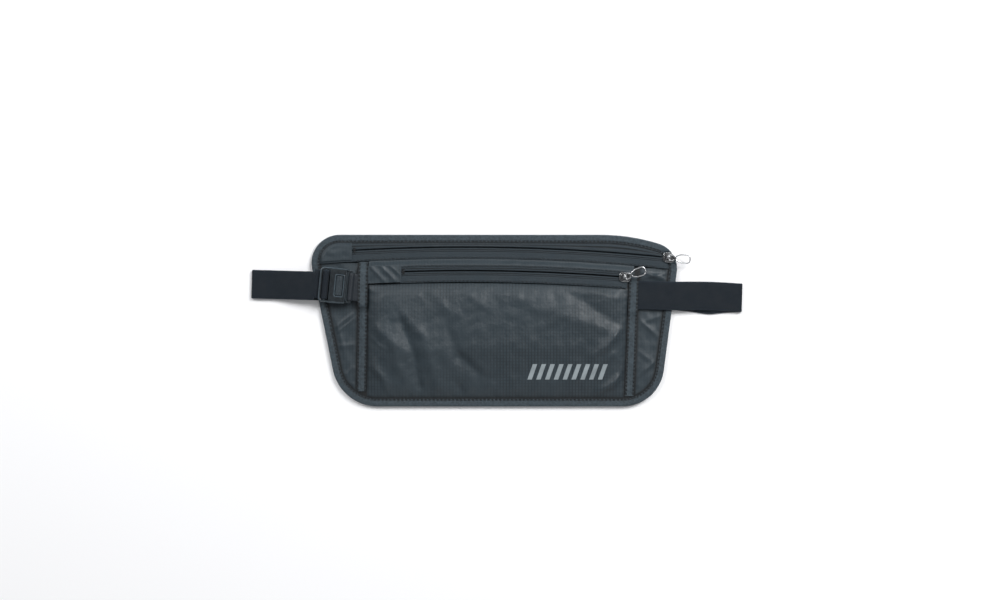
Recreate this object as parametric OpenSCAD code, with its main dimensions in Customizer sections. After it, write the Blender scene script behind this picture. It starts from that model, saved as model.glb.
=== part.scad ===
// Flat travel money belt: a slim two-pocket pouch on an elastic waist strap.
// It lies on its back, so +Z is the front of the pouch, +X its right and +Y its top.
// The origin is the middle of the box around it, on the surface it lies on.

/* [Pouch outline] */
// Width of the pouch between its widest points
pouch_w = 280; // [230:1:340]
// Height of the pouch from top edge to bottom edge
pouch_h = 131.6; // [109:0.1:160]
// How far the pouch sits to the left of the strap's middle
pouch_shift = 2; // [0:0.5:6]
// How far the left edge leans in at the bottom
left_taper = 15.6; // [8:0.2:20]
// How far the right edge leans in at the bottom
right_taper = 9.8; // [6:0.2:14]
// Radius of the top left corner
left_top_r = 21.5; // [16:0.5:26]
// Radius of the bottom left corner
left_bottom_r = 35; // [28:0.5:40]
// Radius of the bottom right corner
right_bottom_r = 32; // [26:0.5:38]
// Radius of the top right corner, where the shoulder ends
right_top_r = 20; // [17:0.5:24]
// Radius of the long shoulder on the right of the top edge
shoulder_r = 152; // [130:1:180]
// Distance from the right edge to where the shoulder starts to fall
shoulder_in = 59; // [50:1:70]

/* [Cloth and seams] */
// Thickness of each cloth panel
cloth_t = 0.4; // [0.3:0.05:0.6]
// Gap left between layers that are sewn together
layer_gap = 0.05; // [0.04:0.01:0.1]
// Width of the edge binding on the front
binding_w = 6.2; // [5:0.1:7.5]
// Thickness of the binding's tape
binding_t = 0.5; // [0.4:0.05:0.8]
// Room inside the main pocket at its middle
main_gap = 4.4; // [4.2:0.1:5]
// Room inside the front pocket at its middle
front_gap = 4.4; // [4.2:0.1:5]
// Width of the upright tapes that cover the side seams
seam_tape_w = 7.4; // [6:0.1:9]
// Distance of the left seam from the pouch's left edge
seam_left_in = 39.1; // [36:0.1:42]
// Distance of the right seam from the pouch's right edge
seam_right_in = 34.5; // [32:0.1:38]

/* [Zips] */
// Radius of the gentle arc that the main zip follows
main_zip_r = 1525; // [1500:1:1550]
// Distance from the main zip down to the front pocket's zip
zip_spacing = 18; // [17:0.5:20]
// Gap between the two tapes where the zip parts
zip_part = 1.2; // [1:0.1:1.6]
// Thickness of the zip tape
tape_t = 0.5; // [0.4:0.05:0.6]
// Width of each lower zip tape
tape_w = 8; // [7:0.1:9]
// Width of a row of coil
coil_w = 1.3; // [1:0.1:1.6]
// Thickness of a row of coil
coil_t = 0.5; // [0.4:0.05:0.6]
// Height of the main zip's tape over the floor
main_tape_z = 3.9; // [3.8:0.05:4.2]
// Height of the front pocket's zip tape over the floor
front_tape_z = 6.9; // [6.8:0.05:7.2]

/* [Sliders and pullers] */
// Length of a slider body
slider_l = 8.6; // [7.5:0.1:9.5]
// Width of a slider body
slider_w = 7.4; // [6.6:0.1:8]
// Thickness of each slider plate
slider_plate_t = 0.8; // [0.6:0.05:0.9]
// Gap between a slider plate and what it runs on
slider_gap = 0.3; // [0.2:0.02:0.35]
// Diameter of the wire of the links and pullers
wire_d = 1.0; // [0.8:0.01:1.1]
// Length of a link between its two bars
link_l = 4.2; // [3.8:0.1:5]
// Width of a link between its two sides
link_w = 4.0; // [3.8:0.1:5]
// Length of a wire puller between its end bars
puller_l = 11; // [9:0.5:14]
// Width of a puller's far end between its wires
puller_w = 6.6; // [6:0.1:8]
// How far the front pocket's puller lies turned on its slider
front_pull_turn = 24; // [0:1:30]
// Radial gap between a wire and the eye that turns on it
eye_gap = 0.08; // [0.05:0.01:0.1]

/* [Waist strap] */
// Width of the elastic strap
strap_w = 22; // [18:0.1:26.4]
// Thickness of the elastic strap
strap_t = 1.4; // [1.2:0.05:1.6]
// How far the strap's folds stand out past the pouch's sides
strap_out = 48; // [40:1:80]
// Slope of the strap across the back of the pouch, in degrees
strap_tilt = -1.6; // [-3:0.1:0]
// Height of the strap's middle line over the pouch's middle
strap_y = 22.7; // [18:0.1:26]

/* [Buckle] */
// Length of the buckle frame along the strap
frame_l = 21; // [20:0.1:24]
// Height of the buckle frame
frame_h = 3.8; // [3.6:0.1:4.4]
// Thickness of the frame's top and bottom plates
frame_plate_t = 0.8; // [0.7:0.05:1]
// Distance of the buckle's middle from the left seam
buckle_out = 22.4; // [21:0.1:25]
// How far the buckle lies turned
buckle_tilt = -5.5; // [-7:0.1:0]
// Length of the release lug along the strap
lug_l = 5.3; // [4.5:0.1:6]
// Width of the release lug across the strap
lug_w = 15.3; // [13:0.1:16]
// How far the lug goes down when pressed
lug_travel = 1.2; // [1:0.1:1.4]
// How far the frame slides off the tongue
frame_travel = 15; // [14:0.5:18]
// Thickness of the anchor webbing
webbing_t = 1.0; // [0.8:0.05:1.1]
// Clearance between the sliding buckle parts
buckle_gap = 0.1; // [0.08:0.01:0.15]

/* [Hidden] */
$fn = 48;
arc_steps = 2400;
eps = 0.01;

// Heights of the layers, from the floor up
back_z = strap_t + 0.1;
wall_z = back_z + cloth_t + layer_gap;
binding_top_z = wall_z + 2 * (cloth_t + layer_gap) + binding_t;
binding_web = 1;
panel_inset = binding_web + 0.2;

// Outline corners, anticlockwise from the bottom left: [centre x, centre y, radius]
edge_l = -pouch_w / 2 - pouch_shift;
edge_r = pouch_w / 2 - pouch_shift;
edge_t = pouch_h / 2;
shoulder_x = edge_r - shoulder_in;
shoulder_reach = shoulder_r - right_top_r;
corner_run = edge_r - right_top_r - shoulder_x;
CORNERS = [
    [edge_l + left_taper + left_bottom_r, left_bottom_r - edge_t, left_bottom_r],
    [edge_r - right_taper - right_bottom_r, right_bottom_r - edge_t, right_bottom_r],
    [edge_r - right_top_r, edge_t - shoulder_r + sqrt(shoulder_reach ^ 2 - corner_run ^ 2), right_top_r],
    [shoulder_x, edge_t - shoulder_r, shoulder_r],
    [edge_l + left_top_r, edge_t - left_top_r, left_top_r]
];
SIDES = len(CORNERS);

// Direction of the outward normal of the straight edge from corner i to the next one
function edge_normal(i) =
    let(a = CORNERS[i], b = CORNERS[(i + 1) % SIDES],
        run = [b[0] - a[0], b[1] - a[1]])
    atan2(run[1], run[0]) - acos(max(-1, min(1, (a[2] - b[2]) / norm(run))));

// The sweep of corner i, from the edge before it to the edge after it
function corner_from(i) = edge_normal((i + SIDES - 1) % SIDES);
function corner_sweep(i) = (edge_normal(i) - corner_from(i) + 720) % 360;

// The outline moved inward by a distance, with a few points on each round corner
function outline(inset, steps = 7) = [
    for (i = [0 : SIDES - 1], k = [0 : steps])
        let(c = CORNERS[i], turn = corner_from(i) + corner_sweep(i) * k / steps)
        [c[0] + (c[2] - inset) * cos(turn), c[1] + (c[2] - inset) * sin(turn)]
];

// Distance from a point inside the pouch to its edge
function corner_depth(i, p) =
    let(c = CORNERS[i], away = [p[0] - c[0], p[1] - c[1]],
        turn = (atan2(away[1], away[0]) - corner_from(i) + 720) % 360)
    turn <= corner_sweep(i) ? c[2] - norm(away) : pouch_w;
function edge_depth(i, p) =
    let(c = CORNERS[i], n = edge_normal(i))
    c[2] - (p[0] - c[0]) * cos(n) - (p[1] - c[1]) * sin(n);
function depth_at(p) = min([for (i = [0 : SIDES - 1]) min(corner_depth(i, p), edge_depth(i, p))]);

// The bottom edge at a given x, moved inward
function bottom_y(x, inset) =
    let(c = x < CORNERS[0][0] ? CORNERS[0] : CORNERS[1], r = c[2] - inset,
        off = x < CORNERS[0][0] || x > CORNERS[1][0] ? x - c[0] : 0)
    c[1] - sqrt(r ^ 2 - off ^ 2);

// The side edges at a given y, moved inward, found by halving the gap to the edge
function edge_x(y, inset, inner, outer, tries = 14) =
    tries == 0 ? inner
    : let(mid = (inner + outer) / 2)
      depth_at([mid, y]) > inset
      ? edge_x(y, inset, mid, outer, tries - 1)
      : edge_x(y, inset, inner, mid, tries - 1);

// Height of the front wall's underside, by its distance from the edge
crown_z = back_z + cloth_t + main_gap;
CROWN = [
    [binding_w + 0.3, wall_z],
    [17, wall_z + 0.5],
    [24, wall_z + 1.0],
    [36, wall_z + 2.65],
    [44, crown_z]
];
// Highest the wall may come below the front zip's tape, with the face and its gaps between them
wall_cap = front_tape_z - 2 * (cloth_t + layer_gap) - layer_gap;
function wall_at(p) = min(lookup(depth_at(p), CROWN), p[1] > arc_y(p[0], face_top_r - 3) ? wall_cap : crown_z);

// The side seams lean a little, with their tops to the right
seam_left_lean = 0.0185;
seam_right_lean = 0.038;
seam_left_x = edge_l + seam_left_in;
seam_right_x = edge_r - seam_right_in;
function seam_left(y) = seam_left_x + seam_left_lean * y;
function seam_right(y) = seam_right_x + seam_right_lean * y;

// Both zips are arcs about one far point below the pouch
zip_centre_x = -23.8;
zip_drop = 10.8;
zip_centre_y = edge_t - zip_drop - main_zip_r + 1.2;
front_zip_r = main_zip_r - zip_spacing;
function zip_angle(x, r) = asin((x - zip_centre_x) / r);
function arc_y(x, r) = zip_centre_y + sqrt(r ^ 2 - (x - zip_centre_x) ^ 2);

// Sheets that hang from the zips meet them under the tapes
wall_top_r = main_zip_r - zip_part / 2 - tape_w;
strip_top_r = wall_top_r + 2;
strip_low_r = front_zip_r + 2.6;
face_top_r = front_zip_r - zip_part / 2 - tape_w + 3;

// Ends of the two zips
main_left_x = edge_l + 31;
main_park_x = edge_r - 6.8;
front_left_x = seam_left_x + 28.9;
front_right_x = seam_right_x - 4.3;
front_park_x = front_right_x - 1.6;

// Slider
bottom_plate_w = slider_w - 1.4;
bottom_plate_l = slider_l - 2.6;
post_d = zip_part - 0.3;
bridge_l = 3.2;
bridge_w = 1.8;
bridge_h = 2.1;
wire_r = wire_d / 2;
eye_r = wire_r + eye_gap;
hinge_up = 1.25;
eye_wall = 0.5;
eye_l = 1.6;
near_half = 1.2;
park_clear = 0.4;

// Buckle, in its own frame: x along the strap, origin at its middle
buckle_x = seam_left_x - buckle_out;
buckle_y = strap_y + buckle_x * tan(strap_tilt) + 0.9;
frame_z = wall_z + 4.05;
frame_top_z = frame_z + frame_h;
rail_w = 1.9;
strap_side_gap = 0.4;
frame_in_w = strap_w + 2 * strap_side_gap;
frame_w = frame_in_w + 2 * rail_w;
bar_r = 1.1;
bar_gap = 0.05;
bar_z = frame_z + frame_h / 2;
adjuster_ring_r = bar_r + bar_gap + strap_t;
adjuster_x = -frame_l / 2 + rail_w + adjuster_ring_r + 0.1;
frame_end_x = frame_l / 2 - 0.6;
plate_from_x = adjuster_x + adjuster_ring_r + 1;
plate_l = frame_end_x - plate_from_x;
channel_z = frame_z + frame_plate_t;
channel_h = frame_h - 2 * frame_plate_t;
tongue_w = frame_in_w - 2 * buckle_gap - 1.2;
tongue_from_x = plate_from_x + 0.6;
shoulder_from_x = frame_end_x + 0.15;
tongue_shoulder_l = 1.2;
anchor_ring_r = bar_r + bar_gap + webbing_t;
anchor_bar_x = shoulder_from_x + tongue_shoulder_l + 0.15 + anchor_ring_r;
lug_from_x = plate_from_x + 4.7;
lug_gap = 0.35;
lug_slope = lug_travel / frame_travel;
lug_top_z = frame_top_z - frame_plate_t - 0.05;
lug_base_t = 1.1;
anchor_w = strap_w - 1;

// Strap, in its own frame: x along the strap
strap_half = pouch_w / 2 + strap_out;
strap_reach = 2 * strap_half;
run_gap = 0.05;
fold_r = strap_t + run_gap / 2;
front_z = strap_t + run_gap;
left_join_x = -strap_half + 16;
buckle_end_x = buckle_x - frame_l / 2 - 5;
strap_over_z = bar_z - bar_r;
right_start_x = seam_right_x + 1.6;
right_edge_x = edge_r + 1;
right_flat_x = edge_r + 27;
right_start_z = wall_z + 2.6;
right_edge_z = binding_top_z + 0.1;

// A closed cloth sheet over a grid of points, each [x, y, z] on its underside
module cloth_sheet(rows, t) {
    n = len(rows);
    m = len(rows[0]);
    low = [for (row = rows, p = row) p];
    high = [for (row = rows, p = row) [p[0], p[1], p[2] + t]];
    top = n * m;
    upper = [for (i = [0 : n - 2], j = [0 : m - 2])
        each [[top + i * m + j, top + (i + 1) * m + j, top + (i + 1) * m + j + 1],
              [top + i * m + j, top + (i + 1) * m + j + 1, top + i * m + j + 1]]];
    lower = [for (i = [0 : n - 2], j = [0 : m - 2])
        each [[i * m + j, (i + 1) * m + j + 1, (i + 1) * m + j],
              [i * m + j, i * m + j + 1, (i + 1) * m + j + 1]]];
    rim = [
        for (j = [0 : m - 2]) j,
        for (i = [0 : n - 2]) i * m + m - 1,
        for (j = [m - 1 : -1 : 1]) (n - 1) * m + j,
        for (i = [n - 1 : -1 : 1]) i * m
    ];
    k = len(rim);
    walls = [for (i = [0 : k - 1])
        let(a = rim[i], b = rim[(i + 1) % k])
        each [[a, top + a, top + b], [a, top + b, b]]];
    polyhedron(concat(low, high), concat(upper, lower, walls));
}

// A band that follows the zips' arc, between two radii, two heights and two ends
module arc_band(r_in, r_out, z, t, from_x, to_x) {
    start = 90 - zip_angle(to_x, r_out);
    sweep = zip_angle(to_x, r_out) - zip_angle(from_x, r_out);
    translate([zip_centre_x, zip_centre_y, z]) rotate([0, 0, start])
        rotate_extrude(angle = sweep, $fn = arc_steps)
            translate([r_in, 0]) square([r_out - r_in, t]);
}

// Everything above the arc of a given radius, its edge in short chords
module above_arc(r, z, t) {
    chords = 32;
    from_x = edge_l - 5;
    to_x = edge_r + 5;
    arc = [for (k = [0 : chords]) let(x = from_x + (to_x - from_x) * k / chords) [x, arc_y(x, r)]];
    translate([0, 0, z]) linear_extrude(t) polygon(concat(arc, [[to_x, pouch_h], [from_x, pouch_h]]));
}

module outline_plate(inset, z, t) {
    translate([0, 0, z]) linear_extrude(t) polygon(outline(inset));
}

// A closed wire through rounded corners, each corner [x, y, bend radius], anticlockwise
module wire_loop(corners, r) {
    n = len(corners);
    function at(i) = [corners[(i + n) % n][0], corners[(i + n) % n][1]];
    function unit(v) = v / norm(v);
    function half(i) = acos(unit(at(i - 1) - at(i)) * unit(at(i + 1) - at(i))) / 2;
    function cut(i) = corners[i % n][2] / tan(half(i));
    function middle(i) =
        at(i) + unit(unit(at(i - 1) - at(i)) + unit(at(i + 1) - at(i))) * corners[i % n][2] / sin(half(i));
    for (i = [0 : n - 1]) {
        bend_from = at(i) + unit(at(i - 1) - at(i)) * cut(i) - middle(i);
        translate(middle(i)) rotate([0, 0, atan2(bend_from[1], bend_from[0])])
            rotate_extrude(angle = 180 - 2 * half(i)) translate([corners[i][2], 0]) circle(r, $fn = 24);
        run = at(i + 1) - at(i);
        translate(at(i) + unit(run) * cut(i)) rotate([0, 0, atan2(run[1], run[0])]) rotate([0, 90, 0])
            cylinder(h = norm(run) - cut(i) - cut(i + 1), r = r, $fn = 24);
    }
}

// A closed wire as one smooth tube through the same kind of corners
module wire_tube(corners, r, sides = 10, steps = 6) {
    n = len(corners);
    function at(i) = [corners[(i + n) % n][0], corners[(i + n) % n][1]];
    function unit(v) = v / norm(v);
    path = [for (i = [0 : n - 1])
        let(back = unit(at(i - 1) - at(i)), on = unit(at(i + 1) - at(i)), half = acos(back * on) / 2,
            bend = corners[i][2], middle = at(i) + unit(back + on) * bend / sin(half),
            start = at(i) + back * bend / tan(half) - middle, from = atan2(start[1], start[0]))
        for (k = [0 : steps])
            let(turn = from + (180 - 2 * half) * k / steps)
            [middle[0] + bend * cos(turn), middle[1] + bend * sin(turn), turn]];
    m = len(path);
    points = [for (p = path, j = [0 : sides - 1])
        let(a = 360 * (j + 0.5) / sides)
        [p[0] + r * cos(a) * cos(p[2]), p[1] + r * cos(a) * sin(p[2]), r * sin(a)]];
    faces = [for (i = [0 : m - 1], j = [0 : sides - 1])
        let(a = i * sides + j, b = i * sides + (j + 1) % sides,
            c = ((i + 1) % m) * sides + j, d = ((i + 1) % m) * sides + (j + 1) % sides)
        each [[a, b, d], [a, d, c]]];
    polyhedron(points, faces);
}

// Moves a piece from a slider's own frame to its place on an arc, z up from the tape's underside
module on_zip(r, x, tape_z) {
    translate([zip_centre_x, zip_centre_y, tape_z]) rotate([0, 0, -zip_angle(x, r)])
        translate([0, r, 0]) children();
}

module in_buckle() {
    translate([buckle_x, buckle_y, 0]) rotate([0, 0, buckle_tilt]) children();
}

// Moves a profile drawn in the strap's x and z to its place, with a width across it
module strap_run(w) {
    translate([0, strap_y, 0]) rotate([0, 0, strap_tilt]) rotate([90, 0, 0])
        translate([0, 0, -w / 2]) linear_extrude(w) children();
}

module back_panel() {
    color("#343f46") outline_plate(panel_inset, back_z, cloth_t);
}

// The pouch's middle, between the side seams: the wall behind the front pocket and the face share one grid
seam_in = seam_tape_w / 2 + 0.4;
hem_in = binding_w + 0.6;
GRID_U = [0, 0.06, 0.13, 0.3, 0.5, 0.7, 0.87, 0.94, 1];
GRID_V = [0, 0.07, 0.15, 0.27, 0.42, 0.58, 0.72, 0.84, 0.93, 1];
low_line = 10 - edge_t;
high_line = edge_t - 20;

// Place across at height y, for a share u of the width inside the seam tapes (-1 and 2 are the seams)
function across(u, y) =
    u < 0 ? seam_left(y) + 0.1
    : u > 1 ? seam_right(y) - 0.1
    : seam_left(y) + seam_in + (seam_right(y) - seam_left(y) - 2 * seam_in) * u;
// One row of points for a share v of the height, below the hem where v is negative
function middle_row(v, top_r) = [for (u = concat([-1], GRID_U, [2]))
    let(low = bottom_y(across(u, low_line), v < 0 ? panel_inset : hem_in),
        high = arc_y(across(u, high_line), top_r),
        y = v < 0 ? low : low + (high - low) * v)
    [across(u, y), y]];
FACE_ROWS = [for (v = concat([-1], GRID_V)) middle_row(v, face_top_r)];

module inner_panel() {
    above = [for (r = [face_top_r + 4, wall_top_r - 0.3]) middle_row(1, r)];
    rows = [for (row = concat(FACE_ROWS, above)) [for (p = row) [p[0], p[1], wall_at(p)]]];
    color("#2c353b") cloth_sheet(rows, cloth_t);
}

// The front face stands off the wall behind it, less and less towards its seams
side_ramp = 20;
top_ramp = 16;
bottom_ramp = 24;
function face_rise(p) = max(0, min(
    1,
    (p[0] - seam_left(p[1]) - seam_in) / side_ramp,
    (seam_right(p[1]) - seam_in - p[0]) / side_ramp,
    (arc_y(p[0], face_top_r - 3) - p[1]) / top_ramp,
    (p[1] - bottom_y(p[0], hem_in)) / bottom_ramp));
function face_at(p) = wall_at(p) + cloth_t + layer_gap + front_gap * face_rise(p);

module front_face() {
    rows = [for (row = FACE_ROWS) [for (p = row) [p[0], p[1], face_at(p)]]];
    color("#3d4950") cloth_sheet(rows, cloth_t);
}

// A side panel runs from its seam to the edge, in rows from the bottom to the zip
SIDE_V = [0.02, 0.08, 0.16, 0.3, 0.5, 0.7, 0.84, 0.94, 1];
SIDE_INSETS = [24, 17, 12, binding_w + 0.3, panel_inset];
// Pushes each value at least a little past the one before it
function spread(a, i = 1) =
    i >= len(a) ? a
    : spread([for (k = [0 : len(a) - 1]) k == i ? max(a[k], a[k - 1] + 0.3) : a[k]], i + 1);
module side_panel(side) {
    low_x = side < 0 ? seam_left(-edge_t) : seam_right(-edge_t);
    low_y = bottom_y(low_x, panel_inset);
    high_y = arc_y(side * 120, wall_top_r) - 0.6;
    rows = [for (v = SIDE_V)
        let(y = low_y + (high_y - low_y) * v,
            seam = (side < 0 ? seam_left(y) : seam_right(y)) + 0.1 * side,
            out = spread([0, for (d = SIDE_INSETS) (edge_x(y, d, seam, side * pouch_w) - seam) * side]),
            last = len(out) - 1)
        [for (k = [0 : last])
            let(x = seam + side * out[side < 0 ? last - k : k]) [x, y, wall_at([x, y])]]];
    cloth_sheet(rows, cloth_t);
}

module side_panel_left() {
    color("#39444b") side_panel(-1);
}
module side_panel_right() {
    color("#39444b") side_panel(1);
}

// Cloth between the two zips, rising from under the main tape to under the front pocket's tape
module zip_strip() {
    under_main = main_tape_z - cloth_t - 0.1;
    under_front = front_tape_z - cloth_t - 0.1;
    STEPS = [[strip_low_r, under_front], [strip_low_r + 1.4, under_front],
             [wall_top_r, under_main], [strip_top_r, under_main]];
    ends = [seam_left(45) + seam_in, seam_right(36) + 0.1];
    count = 14;
    rows = [for (s = STEPS) [for (k = [0 : count])
        let(x = ends[0] + (ends[1] - ends[0]) * k / count) [x, arc_y(x, s[0]), s[1]]]];
    color("#37424a") cloth_sheet(rows, cloth_t);
}

// The binding wraps the edge; the strap passes under it and the main slider parks in a notch
module edge_binding() {
    color("#2f3a40") difference() {
        outline_plate(0, 0, binding_top_z);
        outline_plate(binding_w, -1, binding_top_z + 2);
        outline_plate(binding_web, back_z - layer_gap, binding_top_z - binding_t - back_z + layer_gap);
        strap_run(strap_w + 1) translate([-strap_half, -1]) square([strap_reach, back_z + 1 - layer_gap]);
        slider_park();
    }
}
module slider_park() {
    half_w = bottom_plate_w / 2 + park_clear;
    arc_band(main_zip_r - half_w, main_zip_r + half_w, back_z + cloth_t + 0.02, binding_top_z,
        main_park_x - bottom_plate_l, main_park_x + bottom_plate_l / 2 + park_clear);
}

// Height of the top of the stack that a seam tape covers
function seam_top(x, y) = max(wall_at([x - seam_tape_w / 2, y]), wall_at([x + seam_tape_w / 2, y]), wall_at([x, y]))
    + 2 * (cloth_t + layer_gap) + 0.12;
module seam_tape(side, high_y, web_mid, web_half, web_z) {
    low_y = bottom_y(side < 0 ? seam_left(-edge_t) - seam_tape_w / 2 : seam_right(-edge_t) + seam_tape_w / 2,
        binding_w) + 0.4;
    flat = [low_y, low_y + 6, low_y + 14, low_y + 26, web_mid - web_half - 8, web_mid - web_half - 2.5];
    over = [web_mid - web_half - 1, web_mid + web_half + 1];
    above = [web_mid + web_half + 2.5, high_y];
    rows = [for (y = concat(flat, over, above))
        let(x = side < 0 ? seam_left(y) : seam_right(y), raised = abs(y - web_mid) < web_half + 1.2,
            z = raised ? max(seam_top(x, y), web_z + 0.1) : seam_top(x, y))
        [[x - seam_tape_w / 2, y, z], [x + seam_tape_w / 2, y, z]]];
    cloth_sheet(rows, binding_t);
}
module seam_tape_left() {
    mid = buckle_y + (seam_left_x - buckle_x) * tan(buckle_tilt);
    color("#333e45") seam_tape(-1, arc_y(seam_left_x, wall_top_r) - 0.6, mid, anchor_w / 2 + 0.6,
        anchor_top_z);
}
module seam_tape_right() {
    mid = strap_y + seam_right_x * tan(strap_tilt);
    color("#333e45") seam_tape(1, mid + strap_w / 2 + 3.6, mid, strap_w / 2 + 0.4,
        right_start_z + strap_t);
}

// Main zip: the upper tape steps down into the binding, the lower one is a plain band
module main_tape_upper() {
    clear_r = main_zip_r + bottom_plate_w / 2 + park_clear;
    color("#2b353b") union() {
        intersection() {
            outline_plate(binding_w + 0.3, main_tape_z, tape_t);
            above_arc(main_zip_r + zip_part / 2, main_tape_z, tape_t);
        }
        intersection() {
            difference() {
                outline_plate(binding_w + 0.3, wall_z, main_tape_z + tape_t - wall_z);
                outline_plate(binding_w + 0.8, wall_z - 1, pouch_h);
            }
            above_arc(clear_r, wall_z, pouch_h);
        }
        intersection() {
            difference() {
                outline_plate(panel_inset, wall_z, cloth_t);
                outline_plate(binding_w + 0.8, wall_z - 1, pouch_h);
            }
            above_arc(clear_r, wall_z, cloth_t);
        }
    }
}
module main_tape_lower() {
    color("#2b353b") intersection() {
        outline_plate(binding_w + 0.3, main_tape_z, tape_t);
        arc_band(main_zip_r - zip_part / 2 - tape_w, main_zip_r - zip_part / 2, main_tape_z, tape_t,
            edge_l, edge_r);
    }
}
module coil(r, side, tape_z, from_x, to_x) {
    inner = side > 0 ? r + zip_part / 2 : r - zip_part / 2 - coil_w;
    arc_band(inner, inner + coil_w, tape_z - coil_t - 0.02, coil_t, from_x, to_x);
}
module main_coil_upper() {
    color("#23292d") coil(main_zip_r, 1, main_tape_z, main_left_x, main_park_x - 6);
}
module main_coil_lower() {
    color("#23292d") coil(main_zip_r, -1, main_tape_z, main_left_x, main_park_x - 6);
}
module front_tape_upper() {
    color("#2b353b") arc_band(front_zip_r + zip_part / 2, front_zip_r + zip_part / 2 + 4,
        front_tape_z, tape_t, front_left_x, front_right_x);
}
module front_tape_lower() {
    color("#2b353b") arc_band(front_zip_r - zip_part / 2 - tape_w, front_zip_r - zip_part / 2,
        front_tape_z, tape_t, front_left_x, front_right_x);
}
module front_coil_upper() {
    color("#23292d") coil(front_zip_r, 1, front_tape_z, front_left_x, front_right_x);
}
module front_coil_lower() {
    color("#23292d") coil(front_zip_r, -1, front_tape_z, front_left_x, front_right_x);
}

// A cloth patch closes the left end of the main zip, over both tapes
module zip_end_patch() {
    color("#37424a") intersection() {
        outline_plate(binding_w + 0.3, main_tape_z + tape_t + 0.02, cloth_t);
        arc_band(main_zip_r - 7, main_zip_r + 20, main_tape_z, 5, edge_l, main_left_x);
    }
}
// A folded tab closes the left end of the front pocket's zip
module pocket_end_tab() {
    color("#3a454c") arc_band(front_zip_r - tape_w, front_zip_r + 5, front_tape_z + tape_t + 0.02, cloth_t,
        seam_left_x + seam_tape_w / 2 + 0.8, front_left_x + 1);
}
// Sewn stops cross the parted tapes at the left end of each zip
module zip_stops() {
    color("#23292d") {
        arc_band(main_zip_r - 2, main_zip_r + 2, main_tape_z + tape_t + 0.02, 0.5,
            main_left_x + 1.3, main_left_x + 2.7);
        arc_band(front_zip_r - 2, front_zip_r + 2, front_tape_z + tape_t + 0.02, 0.5,
            front_left_x + 1.8, front_left_x + 3.2);
    }
}

// Slider body: a plate over and a plate under the tapes, joined by a post, with a bored bridge on top
module slider(turn = 0) {
    top_z = tape_t + slider_gap;
    low_z = -coil_t - slider_gap - slider_plate_t;
    cut = 1.6;
    half_l = slider_l / 2;
    half_w = slider_w / 2;
    difference() {
        union() {
            translate([0, 0, top_z]) linear_extrude(slider_plate_t)
                polygon([[-half_l, -half_w + cut], [-half_l + cut, -half_w], [half_l - cut, -half_w],
                         [half_l, -half_w + cut], [half_l, half_w - cut], [half_l - cut, half_w],
                         [-half_l + cut, half_w], [-half_l, half_w - cut]]);
            translate([-bottom_plate_l / 2, -bottom_plate_w / 2, low_z])
                cube([bottom_plate_l, bottom_plate_w, slider_plate_t]);
            translate([bottom_plate_l / 2 - 1.4, 0, low_z]) cylinder(h = top_z - low_z + eps * 10, d = post_d);
            rotate([0, 0, turn]) translate([-bridge_l / 2, -bridge_w / 2, top_z + slider_plate_t - 0.1])
                cube([bridge_l, bridge_w, bridge_h + 0.1]);
        }
        rotate([0, 0, turn]) translate([0, bridge_w, top_z + slider_plate_t + hinge_up])
            rotate([90, 0, 0]) cylinder(h = 2 * bridge_w, r = eye_r);
    }
}
link_z = tape_t + slider_gap + slider_plate_t + hinge_up;

// Link in its own frame: its near bar turns in the slider's bridge, its far bar carries the puller
module link() {
    bend = 1.0;
    half_w = link_w / 2;
    wire_loop([[0, -half_w, bend], [link_l, -half_w, bend], [link_l, half_w, bend], [0, half_w, bend]], wire_r);
}
// Puller: an eye on the link's far bar and a wire that widens to a round end
module puller() {
    near = eye_r + eye_wall / 2 + 0.35;
    near_bend = wire_r + 0.2;
    far_bend = 2.6;
    difference() {
        union() {
            translate([link_l, eye_l / 2, 0]) rotate([90, 0, 0]) cylinder(h = eye_l, r = eye_r + eye_wall);
            translate([link_l + near, 0, 0])
                wire_tube([[0, -near_half, near_bend], [puller_l, -puller_w / 2, far_bend],
                           [puller_l, puller_w / 2, far_bend], [0, near_half, near_bend]], wire_r);
        }
        translate([link_l, eye_l, 0]) rotate([90, 0, 0]) cylinder(h = 2 * eye_l, r = eye_r);
    }
}

module main_slider() {
    color("silver") on_zip(main_zip_r, main_park_x, main_tape_z) slider();
}
module main_link() {
    color("silver") on_zip(main_zip_r, main_park_x, main_tape_z) translate([0, 0, link_z]) link();
}
module main_puller() {
    color("silver") on_zip(main_zip_r, main_park_x, main_tape_z) translate([0, 0, link_z]) puller();
}
module front_slider() {
    color("silver") on_zip(front_zip_r, front_park_x, front_tape_z) slider(front_pull_turn);
}
module front_link() {
    color("silver") on_zip(front_zip_r, front_park_x, front_tape_z)
        rotate([0, 0, front_pull_turn]) translate([0, 0, link_z]) link();
}
module front_puller() {
    color("silver") on_zip(front_zip_r, front_park_x, front_tape_z)
        rotate([0, 0, front_pull_turn]) translate([0, 0, link_z]) puller();
}

// Strap: sewn under the right seam tape, folded at the right, behind the pouch, folded at the left
module waist_strap() {
    color("#1c242c") strap_run(strap_w) {
        difference() {
            union() {
                translate([-strap_half + fold_r, 0]) square([strap_reach - 2 * fold_r, strap_t]);
                translate([-strap_half + fold_r, fold_r]) circle(fold_r);
                translate([strap_half - fold_r, fold_r]) circle(fold_r);
                translate([-strap_half + fold_r, front_z]) square([left_join_x + strap_half - fold_r, strap_t]);
                polygon([[strap_half - fold_r, front_z], [strap_half - fold_r, front_z + strap_t],
                         [right_flat_x, front_z + strap_t], [right_edge_x, right_edge_z + strap_t],
                         [right_start_x, right_start_z + strap_t], [right_start_x, right_start_z],
                         [right_edge_x, right_edge_z], [right_flat_x, front_z]]);
            }
            translate([-strap_half + fold_r, strap_t]) square([strap_reach - 2 * fold_r, run_gap]);
        }
    }
}
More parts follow.
